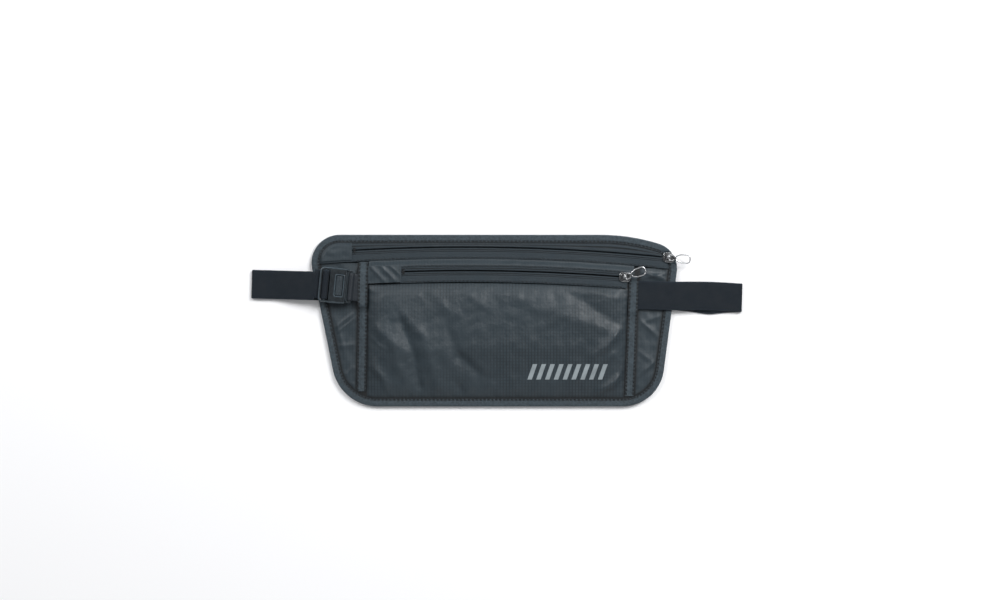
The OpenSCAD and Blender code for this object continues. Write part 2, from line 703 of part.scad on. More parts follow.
// The stretch from the left fold up to the buckle, which slackens when the buckle opens
module strap_front_left() {
    color("#1c242c") strap_run(strap_w)
        polygon([[left_join_x, front_z], [buckle_end_x, strap_over_z],
                 [buckle_end_x, strap_over_z + strap_t], [left_join_x, front_z + strap_t]]);
}
// The strap's end round the adjuster bar, with its tail sewn underneath
module strap_adjuster_loop() {
    // The loop lies turned against the strap, so its corners need room beside the strap's square end
    corner_room = strap_w / 2 * tan(abs(buckle_tilt - strap_tilt)) + 0.15;
    start_x = buckle_end_x - buckle_x + corner_room;
    leg_l = adjuster_x - start_x;
    color("#1c242c") in_buckle() rotate([90, 0, 0]) translate([0, 0, -strap_w / 2]) linear_extrude(strap_w)
        difference() {
            union() {
                translate([adjuster_x, bar_z]) circle(adjuster_ring_r);
                translate([start_x, bar_z - adjuster_ring_r]) square([leg_l, strap_t]);
                translate([start_x, strap_over_z]) square([leg_l, strap_t]);
            }
            translate([adjuster_x, bar_z]) circle(bar_r + bar_gap);
        }
}

// Webbing loop that ties the tongue's bar to the left seam
anchor_low_z = bar_z - anchor_ring_r;
anchor_top_z = anchor_low_z + 2 * webbing_t;
anchor_end_x = seam_left_x - buckle_x - 0.2;
module anchor_webbing() {
    color("#1c242c") in_buckle() rotate([90, 0, 0]) translate([0, 0, -anchor_w / 2]) linear_extrude(anchor_w)
        difference() {
            union() {
                translate([anchor_bar_x, bar_z]) circle(anchor_ring_r);
                translate([anchor_bar_x, anchor_low_z]) square([anchor_end_x - anchor_bar_x, 2 * webbing_t]);
            }
            translate([anchor_bar_x, bar_z]) circle(bar_r + bar_gap);
        }
}

// Female half: rails, adjuster bar, end bar and a flat channel with a window for the lug
module buckle_frame() {
    color("#14181b") in_buckle() difference() {
        union() {
            for (s = [-1, 1])
                translate([-frame_l / 2, s * (frame_w - rail_w) / 2 - rail_w / 2, frame_z])
                    cube([frame_end_x + frame_l / 2, rail_w, frame_h]);
            translate([-frame_l / 2, -frame_w / 2 + eps, strap_over_z + strap_t + 0.15])
                cube([rail_w, frame_w - 2 * eps, frame_top_z - strap_over_z - strap_t - 0.15]);
            translate([adjuster_x, frame_w / 2 - 1, bar_z]) rotate([90, 0, 0])
                cylinder(h = frame_w - 2, r = bar_r);
            for (z = [frame_z, frame_top_z - frame_plate_t])
                translate([plate_from_x, -frame_w / 2 + eps, z])
                    cube([plate_l - eps, frame_w - 2 * eps, frame_plate_t]);
        }
        translate([lug_from_x - lug_gap, -lug_w / 2 - lug_gap, channel_z + eps])
            cube([lug_l + 2 * lug_gap, lug_w + 2 * lug_gap, frame_h]);
    }
}

// Male half: a flat tongue with a hole for the lug and a bar for the webbing
module buckle_tongue() {
    tongue_z = channel_z + buckle_gap;
    tongue_t = channel_h - 2 * buckle_gap;
    arm_w = 1.8;
    arm_gap = 0.2;
    tongue_over = anchor_w + 2 * (arm_w + arm_gap);
    color("#181d20") in_buckle() difference() {
        union() {
            translate([tongue_from_x, -tongue_w / 2, tongue_z])
                cube([shoulder_from_x - tongue_from_x + eps, tongue_w, tongue_t]);
            translate([shoulder_from_x, -tongue_over / 2, tongue_z])
                cube([tongue_shoulder_l, tongue_over, tongue_t]);
            for (s = [-1, 1])
                translate([shoulder_from_x, s * (tongue_over - arm_w) / 2 - arm_w / 2, tongue_z])
                    cube([anchor_bar_x - shoulder_from_x + bar_r, arm_w, tongue_t]);
            translate([anchor_bar_x, tongue_over / 2 - eps, bar_z]) rotate([90, 0, 0])
                cylinder(h = tongue_over - 2 * eps, r = tongue_t / 2 - eps);
        }
        translate([lug_from_x - 0.2, -lug_w / 2 - 0.2, tongue_z - 1])
            cube([lug_l + 0.4, lug_w + 0.4, tongue_t + 2]);
    }
}

// Lug: its top slopes so that the frame passes over it as it goes down
module release_lug() {
    color("#20262a") in_buckle() translate([0, lug_w / 2, 0]) rotate([90, 0, 0]) linear_extrude(lug_w)
        polygon([[lug_from_x, lug_top_z - lug_base_t], [lug_from_x + lug_l, lug_top_z - lug_base_t],
                 [lug_from_x + lug_l, lug_top_z], [lug_from_x, lug_top_z + lug_slope * lug_l]]);
}

back_panel();
inner_panel();
side_panel_left();
side_panel_right();
zip_strip();
front_face();
edge_binding();
seam_tape_left();
seam_tape_right();
main_tape_upper();
main_tape_lower();
main_coil_upper();
main_coil_lower();
front_tape_upper();
front_tape_lower();
front_coil_upper();
front_coil_lower();
zip_end_patch();
pocket_end_tab();
zip_stops();
main_slider();
main_link();
main_puller();
front_slider();
front_link();
front_puller();
waist_strap();
strap_front_left();
strap_adjuster_loop();
anchor_webbing();
buckle_frame();
buckle_tongue();
release_lug();
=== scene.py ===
"""A flat travel money belt: a slim pouch with two zipped pockets on an elastic waist strap."""

import math

import bpy
import numpy as np
from bpy.props import FloatProperty, FloatVectorProperty, IntProperty, PointerProperty
from bpy.types import Operator, Panel, PropertyGroup
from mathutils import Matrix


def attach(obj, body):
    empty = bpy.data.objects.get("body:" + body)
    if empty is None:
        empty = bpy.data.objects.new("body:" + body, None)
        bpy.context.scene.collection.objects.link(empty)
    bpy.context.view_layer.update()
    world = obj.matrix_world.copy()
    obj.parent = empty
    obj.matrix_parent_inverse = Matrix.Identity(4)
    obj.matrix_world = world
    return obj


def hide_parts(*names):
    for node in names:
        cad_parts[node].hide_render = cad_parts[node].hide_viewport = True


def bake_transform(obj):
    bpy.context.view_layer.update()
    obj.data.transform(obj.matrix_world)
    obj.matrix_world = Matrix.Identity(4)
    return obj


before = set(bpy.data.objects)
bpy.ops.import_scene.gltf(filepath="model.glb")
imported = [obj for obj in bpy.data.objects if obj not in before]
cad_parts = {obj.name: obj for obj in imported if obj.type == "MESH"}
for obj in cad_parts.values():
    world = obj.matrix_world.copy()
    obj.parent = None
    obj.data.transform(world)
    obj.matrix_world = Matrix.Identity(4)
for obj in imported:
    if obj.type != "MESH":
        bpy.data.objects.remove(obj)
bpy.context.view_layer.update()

bl_info = {
    "name": "Money Belt",
    "version": (1, 0, 0),
    "blender": (4, 5, 0),
    "location": "View3D > Sidebar > Money Belt",
    "description": "Makes a flat travel money belt with two zipped pockets and an elastic strap",
    "category": "Object",
}

MM = 0.001
TURN = 2 * np.pi
# A distance from the middle that is well outside the pouch, where a search for its edge may start
OUTSIDE = 0.2


# ---------------------------------------------------------------------------------- settings
def length(label, default, about):
    """A length setting, in metres."""
    return FloatProperty(name=label, description=about, default=default, unit="LENGTH", precision=5)


def angle(label, default, about):
    """An angle setting, in radians."""
    return FloatProperty(name=label, description=about, default=default, subtype="ANGLE")


def colour(label, default, about):
    """A colour setting, in linear light."""
    return FloatVectorProperty(
        name=label, description=about, default=default, subtype="COLOR", min=0, max=1)


def count(label, default, about):
    """A whole-number setting."""
    return IntProperty(name=label, description=about, default=default, min=1)


class PouchSettings(PropertyGroup):
    """Outline of the pouch."""

    width: length("Width", 0.28, "Between the pouch's widest points")
    height: length("Height", 0.1316, "From the top edge to the bottom edge")
    shift: length("Shift", 0.002, "How far the pouch sits to the left of the strap's middle")
    left_taper: length("Left Taper", 0.0156, "How far the left edge leans in at the bottom")
    right_taper: length("Right Taper", 0.0098, "How far the right edge leans in at the bottom")
    left_top_r: length("Top Left Radius", 0.0215, "Radius of the top left corner")
    left_bottom_r: length("Bottom Left Radius", 0.035, "Radius of the bottom left corner")
    right_bottom_r: length("Bottom Right Radius", 0.032, "Radius of the bottom right corner")
    right_top_r: length("Top Right Radius", 0.02, "Radius where the shoulder ends")
    shoulder_r: length("Shoulder Radius", 0.152, "Radius of the long shoulder of the top edge")
    shoulder_in: length("Shoulder Start", 0.059, "From the right edge to where the shoulder starts")


class ClothSettings(PropertyGroup):
    """Cloth panels, binding and side seams."""

    cloth_t: length("Cloth Thickness", 0.0004, "Thickness of each cloth panel")
    layer_gap: length("Layer Gap", 0.00005, "Gap between layers that are sewn together")
    binding_w: length("Binding Width", 0.0062, "Width of the edge binding on the front")
    binding_t: length("Binding Thickness", 0.0005, "Thickness of the binding's tape")
    main_gap: length("Main Pocket Room", 0.0044, "Room inside the main pocket at its middle")
    front_gap: length("Front Pocket Room", 0.0044, "Room inside the front pocket at its middle")
    seam_tape_w: length("Seam Tape Width", 0.0074, "Width of the tapes over the side seams")
    seam_left_in: length("Left Seam", 0.0391, "From the pouch's left edge to the left seam")
    seam_right_in: length("Right Seam", 0.0345, "From the pouch's right edge to the right seam")
    fold_height: length("Fold Height", 0.0018, "Height of the soft folds in the front face")
    stitch_pitch: length("Stitch Pitch", 0.003, "From one stitch to the next")


class ZipSettings(PropertyGroup):
    """Zips, sliders and wire pullers."""

    main_r: length("Zip Radius", 1.525, "Radius of the gentle arc that the main zip follows")
    spacing: length("Zip Spacing", 0.018, "From the main zip down to the front pocket's zip")
    part: length("Parting", 0.0012, "Gap between the two tapes where the zip parts")
    tape_t: length("Tape Thickness", 0.0005, "Thickness of the zip tape")
    tape_w: length("Tape Width", 0.008, "Width of each lower zip tape")
    coil_w: length("Coil Width", 0.0013, "Width of a row of coil")
    coil_t: length("Coil Thickness", 0.0005, "Thickness of a row of coil")
    coil_pitch: length("Coil Pitch", 0.00125, "From one turn of the coil to the next")
    main_z: length("Main Tape Height", 0.0039, "Height of the main zip's tape over the floor")
    front_z: length("Front Tape Height", 0.0069, "Height of the front pocket's tape over the floor")
    slider_l: length("Slider Length", 0.0086, "Length of a slider body")
    slider_w: length("Slider Width", 0.0074, "Width of a slider body")
    plate_t: length("Slider Plate", 0.0008, "Thickness of each slider plate")
    slider_gap: length("Slider Gap", 0.0003, "Gap between a slider plate and what it runs on")
    wire_d: length("Wire Diameter", 0.001, "Diameter of the wire of the links and pullers")
    link_l: length("Link Length", 0.0042, "Length of a link between its two bars")
    link_w: length("Link Width", 0.004, "Width of a link between its two sides")
    puller_l: length("Puller Length", 0.011, "Length of a wire puller between its end bars")
    puller_w: length("Puller Width", 0.0066, "Width of a puller's far end between its wires")
    front_turn: angle("Front Puller Turn", math.radians(24), "Turn of the front puller on its slider")


class StrapSettings(PropertyGroup):
    """Elastic waist strap."""

    width: length("Width", 0.022, "Width of the elastic strap")
    thickness: length("Thickness", 0.0014, "Thickness of the elastic strap")
    out: length("Reach", 0.048, "How far the strap's folds stand out past the pouch's sides")
    tilt: angle("Tilt", math.radians(-1.6), "Slope of the strap across the back of the pouch")
    height: length("Height", 0.0227, "Height of the strap's middle line over the pouch's middle")


class BuckleSettings(PropertyGroup):
    """Side buckle."""

    frame_l: length("Frame Length", 0.021, "Length of the buckle frame along the strap")
    frame_h: length("Frame Height", 0.0038, "Height of the buckle frame")
    plate_t: length("Plate Thickness", 0.0008, "Thickness of the frame's top and bottom plates")
    out: length("Offset", 0.0224, "Distance of the buckle's middle from the left seam")
    tilt: angle("Tilt", math.radians(-5.5), "How far the buckle lies turned")
    lug_l: length("Lug Length", 0.0053, "Length of the release lug along the strap")
    lug_w: length("Lug Width", 0.0153, "Width of the release lug across the strap")
    webbing_t: length("Webbing Thickness", 0.001, "Thickness of the anchor webbing")


class FinishSettings(PropertyGroup):
    """Colours and the scale of the weaves."""

    cloth: colour("Cloth", (0.023, 0.035, 0.044), "Slate cloth of the pouch")
    lining: colour("Lining", (0.022, 0.028, 0.033), "Cloth inside and behind")
    tape: colour("Tape", (0.029, 0.041, 0.050), "Binding and seam tapes")
    zip_tape: colour("Zip Tape", (0.022, 0.032, 0.040), "Knitted zip tape")
    elastic: colour("Elastic", (0.007, 0.011, 0.016), "Waist strap")
    thread: colour("Thread", (0.004, 0.006, 0.008), "Sewing thread")
    plastic: colour("Plastic", (0.009, 0.013, 0.016), "Buckle")
    metal: colour("Metal", (0.46, 0.47, 0.48), "Sliders and pullers")
    printed: colour("Print", (0.27, 0.31, 0.33), "Printed bars on the front")
    floor: colour("Floor", (0.93, 0.93, 0.94), "Floor")
    ripstop_pitch: length("Ripstop Pitch", 0.0024, "Side of one ripstop square")
    print_bars: count("Printed Bars", 9, "Number of slanted bars in the printed row")


GROUPS = {
    "belt_pouch": PouchSettings,
    "belt_cloth": ClothSettings,
    "belt_zips": ZipSettings,
    "belt_strap": StrapSettings,
    "belt_buckle": BuckleSettings,
    "belt_finish": FinishSettings,
}


# ------------------------------------------------------------------------- the pouch's form
def smooth(t):
    """Eases from 0 to 1 as t goes from 0 to 1: three t squared less two t cubed."""
    t = np.clip(t, 0, 1)
    return t * t * (3 - 2 * t)


def mix(a, b, t):
    """The value a share t of the way from a to b."""
    return a + (b - a) * t


def halve(inner, outer, inside, tries=22):
    """Finds where a test stops holding between two arrays of places, by halving the gap."""
    for _ in range(tries):
        middle = (inner + outer) / 2
        holds = inside(middle)
        inner = np.where(holds, middle, inner)
        outer = np.where(holds, outer, middle)
    return inner


# How far the left (-1) and the right (1) side seam move to the right for each unit up
SEAM_LEAN = {-1: 0.0185, 1: 0.038}


class Form:
    """Where everything on the belt lies, worked out from the settings."""

    def __init__(self, scene):
        pouch, cloth, zips = scene.belt_pouch, scene.belt_cloth, scene.belt_zips
        strap, buckle = scene.belt_strap, scene.belt_buckle
        self.cloth, self.zips, self.strap, self.buckle = cloth, zips, strap, buckle
        self.left = -pouch.width / 2 - pouch.shift
        self.right = pouch.width / 2 - pouch.shift
        self.top = pouch.height / 2
        self.set_outline(pouch)
        # Heights of the layers, from the floor up
        self.back_z = strap.thickness + 0.1 * MM
        self.wall_z = self.back_z + cloth.cloth_t + cloth.layer_gap
        self.binding_z = self.wall_z + 2 * (cloth.cloth_t + cloth.layer_gap) + cloth.binding_t
        self.tape_low_z = self.wall_z + 0.55 * MM
        crown_z = self.back_z + cloth.cloth_t + cloth.main_gap
        self.crown_depths = np.array([cloth.binding_w + 0.3 * MM, 0.017, 0.024, 0.036, 0.044])
        self.crown_heights = self.wall_z + np.array([0, 0.5, 1.0, 2.65, 0]) * MM
        self.crown_heights[-1] = crown_z
        # Seams, the clear cloth beside them, and how far panels and zip tapes stop inside the edge
        self.seam_left_x = self.left + cloth.seam_left_in
        self.seam_right_x = self.right - cloth.seam_right_in
        self.seam_in = cloth.seam_tape_w / 2 + 0.4 * MM
        self.hem_in = cloth.binding_w + 0.6 * MM
        self.panel_in = 1.2 * MM
        self.tape_in = 6.4 * MM
        # Zips: the arcs' centre and radii, their ends, and where the sliders park
        self.zip_x = -23.8 * MM
        self.zip_y = self.top - 9.6 * MM - zips.main_r
        self.front_r = zips.main_r - zips.spacing
        self.wall_top_r = zips.main_r - zips.part / 2 - zips.tape_w
        self.face_top_r = self.front_r - zips.part / 2 - zips.tape_w + 3 * MM
        self.main_left_x = self.left + 31 * MM
        self.main_park_x = self.right - 6.8 * MM
        self.front_left_x = self.seam_left_x + 28.9 * MM
        self.front_right_x = self.seam_right_x - 4.3 * MM
        self.front_park_x = self.front_right_x - 1.6 * MM
        # Strap, webbing and the buckle's place
        self.strap_half = pouch.width / 2 + strap.out
        self.strap_start_z = self.wall_z + 2.6 * MM
        self.webbing_w = strap.width - 1 * MM
        self.buckle_x = self.seam_left_x - buckle.out
        self.buckle_y = strap.height + self.buckle_x * math.tan(strap.tilt) + 0.9 * MM
        self.frame_z = self.wall_z + 4.05 * MM
        self.bar_z = self.frame_z + buckle.frame_h / 2
        # Places along the buckle, in its own frame
        self.rail_w = 1.9 * MM
        self.grip_r = 1.15 * MM
        self.slot_half = strap.width / 2 + 0.4 * MM
        self.bar_x = -buckle.frame_l / 2 + self.rail_w + 2.65 * MM
        self.plate_x = self.bar_x + 3.55 * MM
        self.lug_x = self.plate_x + 4.7 * MM
        self.end_x = buckle.frame_l / 2 - 0.6 * MM
        self.shoulder_x = self.end_x + 0.15 * MM
        self.shoulder_l = 1.2 * MM
        self.tongue_bar_x = self.shoulder_x + self.shoulder_l + 0.15 * MM + self.grip_r + buckle.webbing_t

    def set_outline(self, pouch):
        """Five round corners, each a centre and a radius, with the outward direction of the straight
        edge that follows each one."""
        shoulder_x = self.right - pouch.shoulder_in
        reach = pouch.shoulder_r - pouch.right_top_r
        run = self.right - pouch.right_top_r - shoulder_x
        top_right_y = self.top - pouch.shoulder_r + math.sqrt(reach**2 - run**2)
        self.corners = np.array([
            [self.left + pouch.left_taper + pouch.left_bottom_r,
             pouch.left_bottom_r - self.top, pouch.left_bottom_r],
            [self.right - pouch.right_taper - pouch.right_bottom_r,
             pouch.right_bottom_r - self.top, pouch.right_bottom_r],
            [self.right - pouch.right_top_r, top_right_y, pouch.right_top_r],
            [shoulder_x, self.top - pouch.shoulder_r, pouch.shoulder_r],
            [self.left + pouch.left_top_r, self.top - pouch.left_top_r, pouch.left_top_r],
        ])
        ahead = np.roll(self.corners, -1, axis=0)
        run = ahead[:, :2] - self.corners[:, :2]
        fall = (self.corners[:, 2] - ahead[:, 2]) / np.hypot(run[:, 0], run[:, 1])
        self.normals = np.arctan2(run[:, 1], run[:, 0]) - np.arccos(np.clip(fall, -1, 1))
        self.starts = np.roll(self.normals, 1)
        self.sweeps = np.mod(self.normals - self.starts, TURN)

    def depth(self, x, y):
        """Distance from points to the pouch's edge: the least of the distances to the corner arcs,
        each within its own sweep, and to the straight edges."""
        x, y = np.broadcast_arrays(np.asarray(x, float), np.asarray(y, float))
        best = np.full(x.shape, 1.0)
        for (cx, cy, r), start, sweep, normal in zip(
                self.corners, self.starts, self.sweeps, self.normals):
            turn = np.mod(np.arctan2(y - cy, x - cx) - start, TURN)
            arc = r - np.hypot(x - cx, y - cy)
            best = np.where(turn <= sweep, np.minimum(best, arc), best)
            best = np.minimum(best, r - (x - cx) * np.cos(normal) - (y - cy) * np.sin(normal))
        return best

    def outline(self, number):
        """The edge as evenly spaced points, with the outward normal and the distance run at each. On an
        arc the normal turns about one centre; on a straight edge the centre moves instead."""
        ahead = np.roll(self.corners, -1, axis=0)
        legs = []
        for i in range(len(self.corners)):
            start, end = self.starts[i], self.starts[i] + self.sweeps[i]
            legs.append([*self.corners[i], start, *self.corners[i], end])
            legs.append([*self.corners[i], end, *ahead[i], end])
        legs = np.array(legs)
        first, last = legs[:, :4], legs[:, 4:]
        tips = [np.stack([e[:, 0] + e[:, 2] * np.cos(e[:, 3]), e[:, 1] + e[:, 2] * np.sin(e[:, 3])], 1)
                for e in (first, last)]
        run = np.hypot(*(tips[1] - tips[0]).T)
        run[::2] = first[::2, 2] * (last[::2, 3] - first[::2, 3])
        marks = np.concatenate([[0], np.cumsum(run)])
        s = np.linspace(0, marks[-1], number + 1)[:-1]
        leg = np.clip(np.searchsorted(marks, s, side="right") - 1, 0, len(run) - 1)
        share = ((s - marks[leg]) / np.maximum(run[leg], 1e-9))[:, None]
        state = mix(first[leg], last[leg], share)
        normal = np.stack([np.cos(state[:, 3]), np.sin(state[:, 3])], 1)
        return state[:, :2] + state[:, 2:3] * normal, normal, s, marks[-1]

    def bottom(self, x, inset):
        """Height in plan of the bottom edge at x, moved inward."""
        low, high = self.corners[0], self.corners[1]
        x = np.asarray(x, float)
        near = np.where(x[..., None] < low[0], low, high)
        r = near[..., 2] - inset
        off = np.where((x < low[0]) | (x > high[0]), x - near[..., 0], 0)
        return near[..., 1] - np.sqrt(np.maximum(r**2 - off**2, 0))

    def side(self, y, inset, sign):
        """Place across of the left (-1) or right (1) edge at height y, moved inward."""
        y = np.asarray(y, float)
        return halve(np.zeros_like(y), np.full_like(y, sign * OUTSIDE), lambda x: self.depth(x, y) > inset)

    def above(self, x, inset):
        """Height in plan of the top edge at x, moved inward."""
        x = np.asarray(x, float)
        return halve(np.zeros_like(x), np.full_like(x, OUTSIDE / 2), lambda y: self.depth(x, y) > inset)

    def arc(self, x, r):
        """Height in plan of a zip's arc at x."""
        return self.zip_y + np.sqrt(r**2 - (np.asarray(x, float) - self.zip_x)**2)

    def arc_end(self, r, inset, sign):
        """Place across where the arc of radius r comes within an inset of the edge."""
        r = np.asarray(r, float)
        return halve(np.zeros_like(r), np.full_like(r, sign * OUTSIDE),
                     lambda x: self.depth(x, self.arc(x, r)) > inset)

    def wall(self, x, y):
        """Height of the front wall's underside: a line through the crown's heights by depth, softened by
        taking the mean over a few millimetres."""
        depth = self.depth(x, y)
        spread = np.linspace(-3, 3, 7) * MM
        return np.mean([np.interp(depth + s, self.crown_depths, self.crown_heights) for s in spread], 0)

    def seam(self, y, sign):
        """Place across of the left (-1) or right (1) side seam at height y."""
        foot = self.seam_left_x if sign < 0 else self.seam_right_x
        return foot + SEAM_LEAN[sign] * y

    def across_strap(self, x, y):
        """Distance of a point from the strap's middle line."""
        tilt = self.strap.tilt
        return (y - self.strap.height) * math.cos(tilt) - x * math.sin(tilt)

    def on_strap(self, points):
        """Turns points drawn along the strap (x along, y across) into their place."""
        return turned(points, self.strap.tilt) + [0, self.strap.height, 0]

    def in_buckle(self, points):
        """Turns points drawn in the buckle's own frame into their place."""
        return turned(points, self.buckle.tilt) + [self.buckle_x, self.buckle_y, 0]

    def on_zip(self, points, r, x, z):
        """Turns points drawn at a slider (x along the zip) into their place."""
        lean = -math.asin((x - self.zip_x) / r)
        return turned(points + [0, r, 0], lean) + [self.zip_x, self.zip_y, z]


def turned(points, turn):
    """Points turned about the upright axis."""
    c, s = math.cos(turn), math.sin(turn)
    x, y = points[..., 0], points[..., 1]
    return np.stack([x * c - y * s, x * s + y * c, points[..., 2]], -1)


# --------------------------------------------------------------------- surfaces and meshes
def stack(x, y, z):
    """One array of points from three arrays of coordinates."""
    return np.stack(np.broadcast_arrays(x, y, z), -1)


def loft(rings, closed=False, strip=False, along=None, around=None):
    """A closed surface through rings of points. Point j of ring i joins to point j + 1 and to ring i + 1;
    the end rings are closed by a strip of quads, or by a fan about their middle. The pattern's
    coordinates are the distances along the rings and around them."""
    m, n, _ = rings.shape
    i = np.arange(m if closed else m - 1)[:, None]
    j = np.arange(n)[None, :]
    corners = [(i, j), (i, j + 1), (i + 1, j + 1), (i + 1, j)]
    quads = np.stack([((a % m) * n + b % n) + 0 * i + 0 * j for a, b in corners], -1).reshape(-1, 4)
    along = np.zeros(m + 1) if along is None else np.append(along, along[-1])[:m + 1]
    around = np.zeros(n + 1) if around is None else np.append(around, around[-1])[:n + 1]
    marks = np.stack([np.stack([along[a] + 0.0 * b, around[b] + 0.0 * a], -1) for a, b in corners], -2)
    marks = marks.reshape(-1, 4, 2)
    points = rings.reshape(-1, 3)
    tris, tri_marks = np.zeros((0, 3), int), np.zeros((0, 3, 2))
    if strip and not closed:
        k = np.arange(n // 2 - 1)
        end = np.stack([k, k + 1, n - 2 - k, n - 1 - k], -1)
        far = end + (m - 1) * n
        quads = np.vstack([quads, end[:, ::-1], far])
        caps = [np.stack([np.full(q.shape, a), around[q]], -1)
                for q, a in ((end[:, ::-1], along[0]), (end, along[m - 1]))]
        marks = np.vstack([marks, *caps])
    elif not closed:
        points = np.vstack([points, rings[0].mean(0), rings[-1].mean(0)])
        k = np.arange(n)
        low = np.stack([(k + 1) % n, k, np.full(n, m * n)], -1)
        high = np.stack([k, (k + 1) % n, np.full(n, 0)], -1) + (m - 1) * n
        high[:, 2] = m * n + 1
        tris = np.vstack([low, high])
        tri_marks = np.zeros((2 * n, 3, 2))
        tri_marks[:n, :, 0], tri_marks[n:, :, 0] = along[0], along[m - 1]
    return outward((points, quads, tris, marks, tri_marks))


def outward(shell):
    """The same closed surface with its faces turned outwards, by the sign of its volume."""
    points, quads, tris, marks, tri_marks = shell
    p = points - points.mean(0)
    faces = np.vstack([quads[:, [0, 1, 2]], quads[:, [0, 2, 3]], tris])
    a, b, c = (p[faces[:, k]] for k in range(3))
    if np.einsum("ij,ij->", a, np.cross(b, c)) < 0:
        return points, quads[:, ::-1], tris[:, ::-1], marks[:, ::-1], tri_marks[:, ::-1]
    return shell


def shell(top, bottom):
    """A closed sheet between an upper and a lower grid of points."""
    rings = np.concatenate([top, bottom[:, ::-1]], axis=1)
    return loft(rings, strip=True)


def cloth(grid, thickness):
    """A closed cloth sheet standing up from a grid of points on its underside."""
    return shell(grid + [0, 0, thickness], grid)


def place(shape, move):
    """A surface with its points moved by a function."""
    return outward((move(shape[0]), *shape[1:]))


def repeated(shape, origins, forward, up):
    """Copies of one surface, drawn with x forward and z up, at many places and directions."""
    sideways = np.cross(up, forward)
    axes = np.stack([forward, sideways, up], -2)
    points, quads, tris, marks, tri_marks = shape
    n, k = len(points), len(origins)
    moved = np.einsum("pa,kab->kpb", points, axes) + origins[:, None]
    step = (np.arange(k) * n)[:, None, None]
    return (moved.reshape(-1, 3), (quads + step).reshape(-1, 4), (tris + step).reshape(-1, 3),
            np.tile(marks, (k, 1, 1)), np.tile(tri_marks, (k, 1, 1)))


def mesh_of(name, shells):
    """One mesh from closed surfaces, with the pattern's coordinates in a UV map."""
    points = np.vstack([s[0] for s in shells])
    starts = np.cumsum([0] + [len(s[0]) for s in shells[:-1]])
    quads = np.vstack([s[1] + k for s, k in zip(shells, starts)])
    tris = np.vstack([s[2] + k for s, k in zip(shells, starts)])
    corners = np.concatenate([quads.ravel(), tris.ravel()]).astype(np.int32)
    sizes = np.concatenate([np.full(len(quads), 4), np.full(len(tris), 3)])
    marks = np.concatenate([np.vstack([s[3] for s in shells]).ravel(),
                            np.vstack([s[4] for s in shells]).ravel()])
    mesh = bpy.data.meshes.new(name)
    mesh.vertices.add(len(points))
    mesh.vertices.foreach_set("co", points.ravel().astype(np.float32))
    mesh.loops.add(len(corners))
    mesh.loops.foreach_set("vertex_index", corners)
    mesh.polygons.add(len(sizes))
    mesh.polygons.foreach_set("loop_start", np.concatenate([[0], np.cumsum(sizes)[:-1]]).astype(np.int32))
    mesh.uv_layers.new(name="pattern")
    mesh.uv_layers["pattern"].data.foreach_set("uv", marks.astype(np.float32))
    mesh.update(calc_edges=True)
    mesh.validate()
    return mesh


def piece(name, shells, finish, nodes=(), body="root", sharp=38, crease_shade=None):
    """A finished piece of the belt: its mesh, its finish, the body it moves with and what it stands for.
    The last argument says how deep each point of a sheet's grid lies in the groove beside a seam, which
    sets the painted shade there."""
    mesh = mesh_of(name, shells if isinstance(shells, list) else [shells])
    if crease_shade is not None:
        both = np.concatenate([crease_shade, crease_shade[:, ::-1]], axis=1).astype(np.float32)
        mesh.attributes.new("crease_shade", "FLOAT", "POINT").data.foreach_set("value", both.ravel())
    mesh.polygons.foreach_set("use_smooth", np.ones(len(mesh.polygons), bool))
    mesh.set_sharp_from_angle(angle=math.radians(sharp))
    mesh.materials.append(finish)
    obj = bpy.data.objects.new(name, mesh)
    bpy.context.scene.collection.objects.link(obj)
    if body:
        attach(obj, body)
    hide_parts(*nodes)
    return obj


def band_profile(width, thickness, steps=12):
    """A band's section as (across, up) points: two flat faces joined by half circles. The second array
    holds the place across, the same on both faces."""
    r = thickness / 2
    flat = np.linspace(-width / 2 + r, width / 2 - r, steps)
    bend = np.linspace(np.pi / 2, -np.pi / 2, 5)[1:-1]
    right = np.stack([width / 2 - r + r * np.cos(bend), r * np.sin(bend)], 1)
    top = np.stack([flat, np.full(steps, r)], 1)
    points = np.vstack([top, right, -top, -right])
    return points, points[:, 0]


def arc_points(cx, cz, r, start, end, steps):
    """Points on an arc in the (x, z) plane, from one angle to another in degrees."""
    a = np.radians(np.linspace(start, end, steps))
    way = np.stack([np.cos(a), np.sin(a)], 1)
    return np.array([cx, cz]) + r * way


def fair(path, step):
    """A path resampled at even distances, with the unit normal to the left of its run."""
    run = np.concatenate([[0], np.cumsum(np.hypot(*np.diff(path, axis=0).T))])
    keep = np.concatenate([[True], np.diff(run) > 1e-7])
    path, run = path[keep], run[keep]
    s = np.linspace(0, run[-1], max(int(run[-1] / step), 8))
    even = np.stack([np.interp(s, run, path[:, k]) for k in (0, 1)], 1)
    way = np.gradient(even, axis=0)
    way /= np.linalg.norm(way, axis=1)[:, None]
    return even, np.stack([-way[:, 1], way[:, 0]], 1), s


def strap_band(path, width, thickness, step=0.5 * MM):
    """A band carried along a path in the (x, z) plane: each ring is the band's section, its thickness
    along the path's normal and its width across."""
    path, normal, s = fair(np.asarray(path), step)
    section, across = band_profile(width, thickness)
    x = path[:, :1] + normal[:, :1] * section[:, 1]
    z = path[:, 1:] + normal[:, 1:] * section[:, 1]
    rings = stack(x, section[:, 0], z)
    return loft(rings, along=s, around=np.append(across, across[0]))


def tube(centres, side, up, radius, sides=8, closed=False, along=None):
    """A round wire along a line of centres, with two unit directions across it at each."""
    a = np.linspace(0, TURN, sides, endpoint=False)
    ring = side[:, None] * np.cos(a)[None, :, None] + up[:, None] * np.sin(a)[None, :, None]
    return loft(centres[:, None] + radius * ring, closed=closed, along=along,
                around=np.linspace(0, TURN * radius, sides + 1))


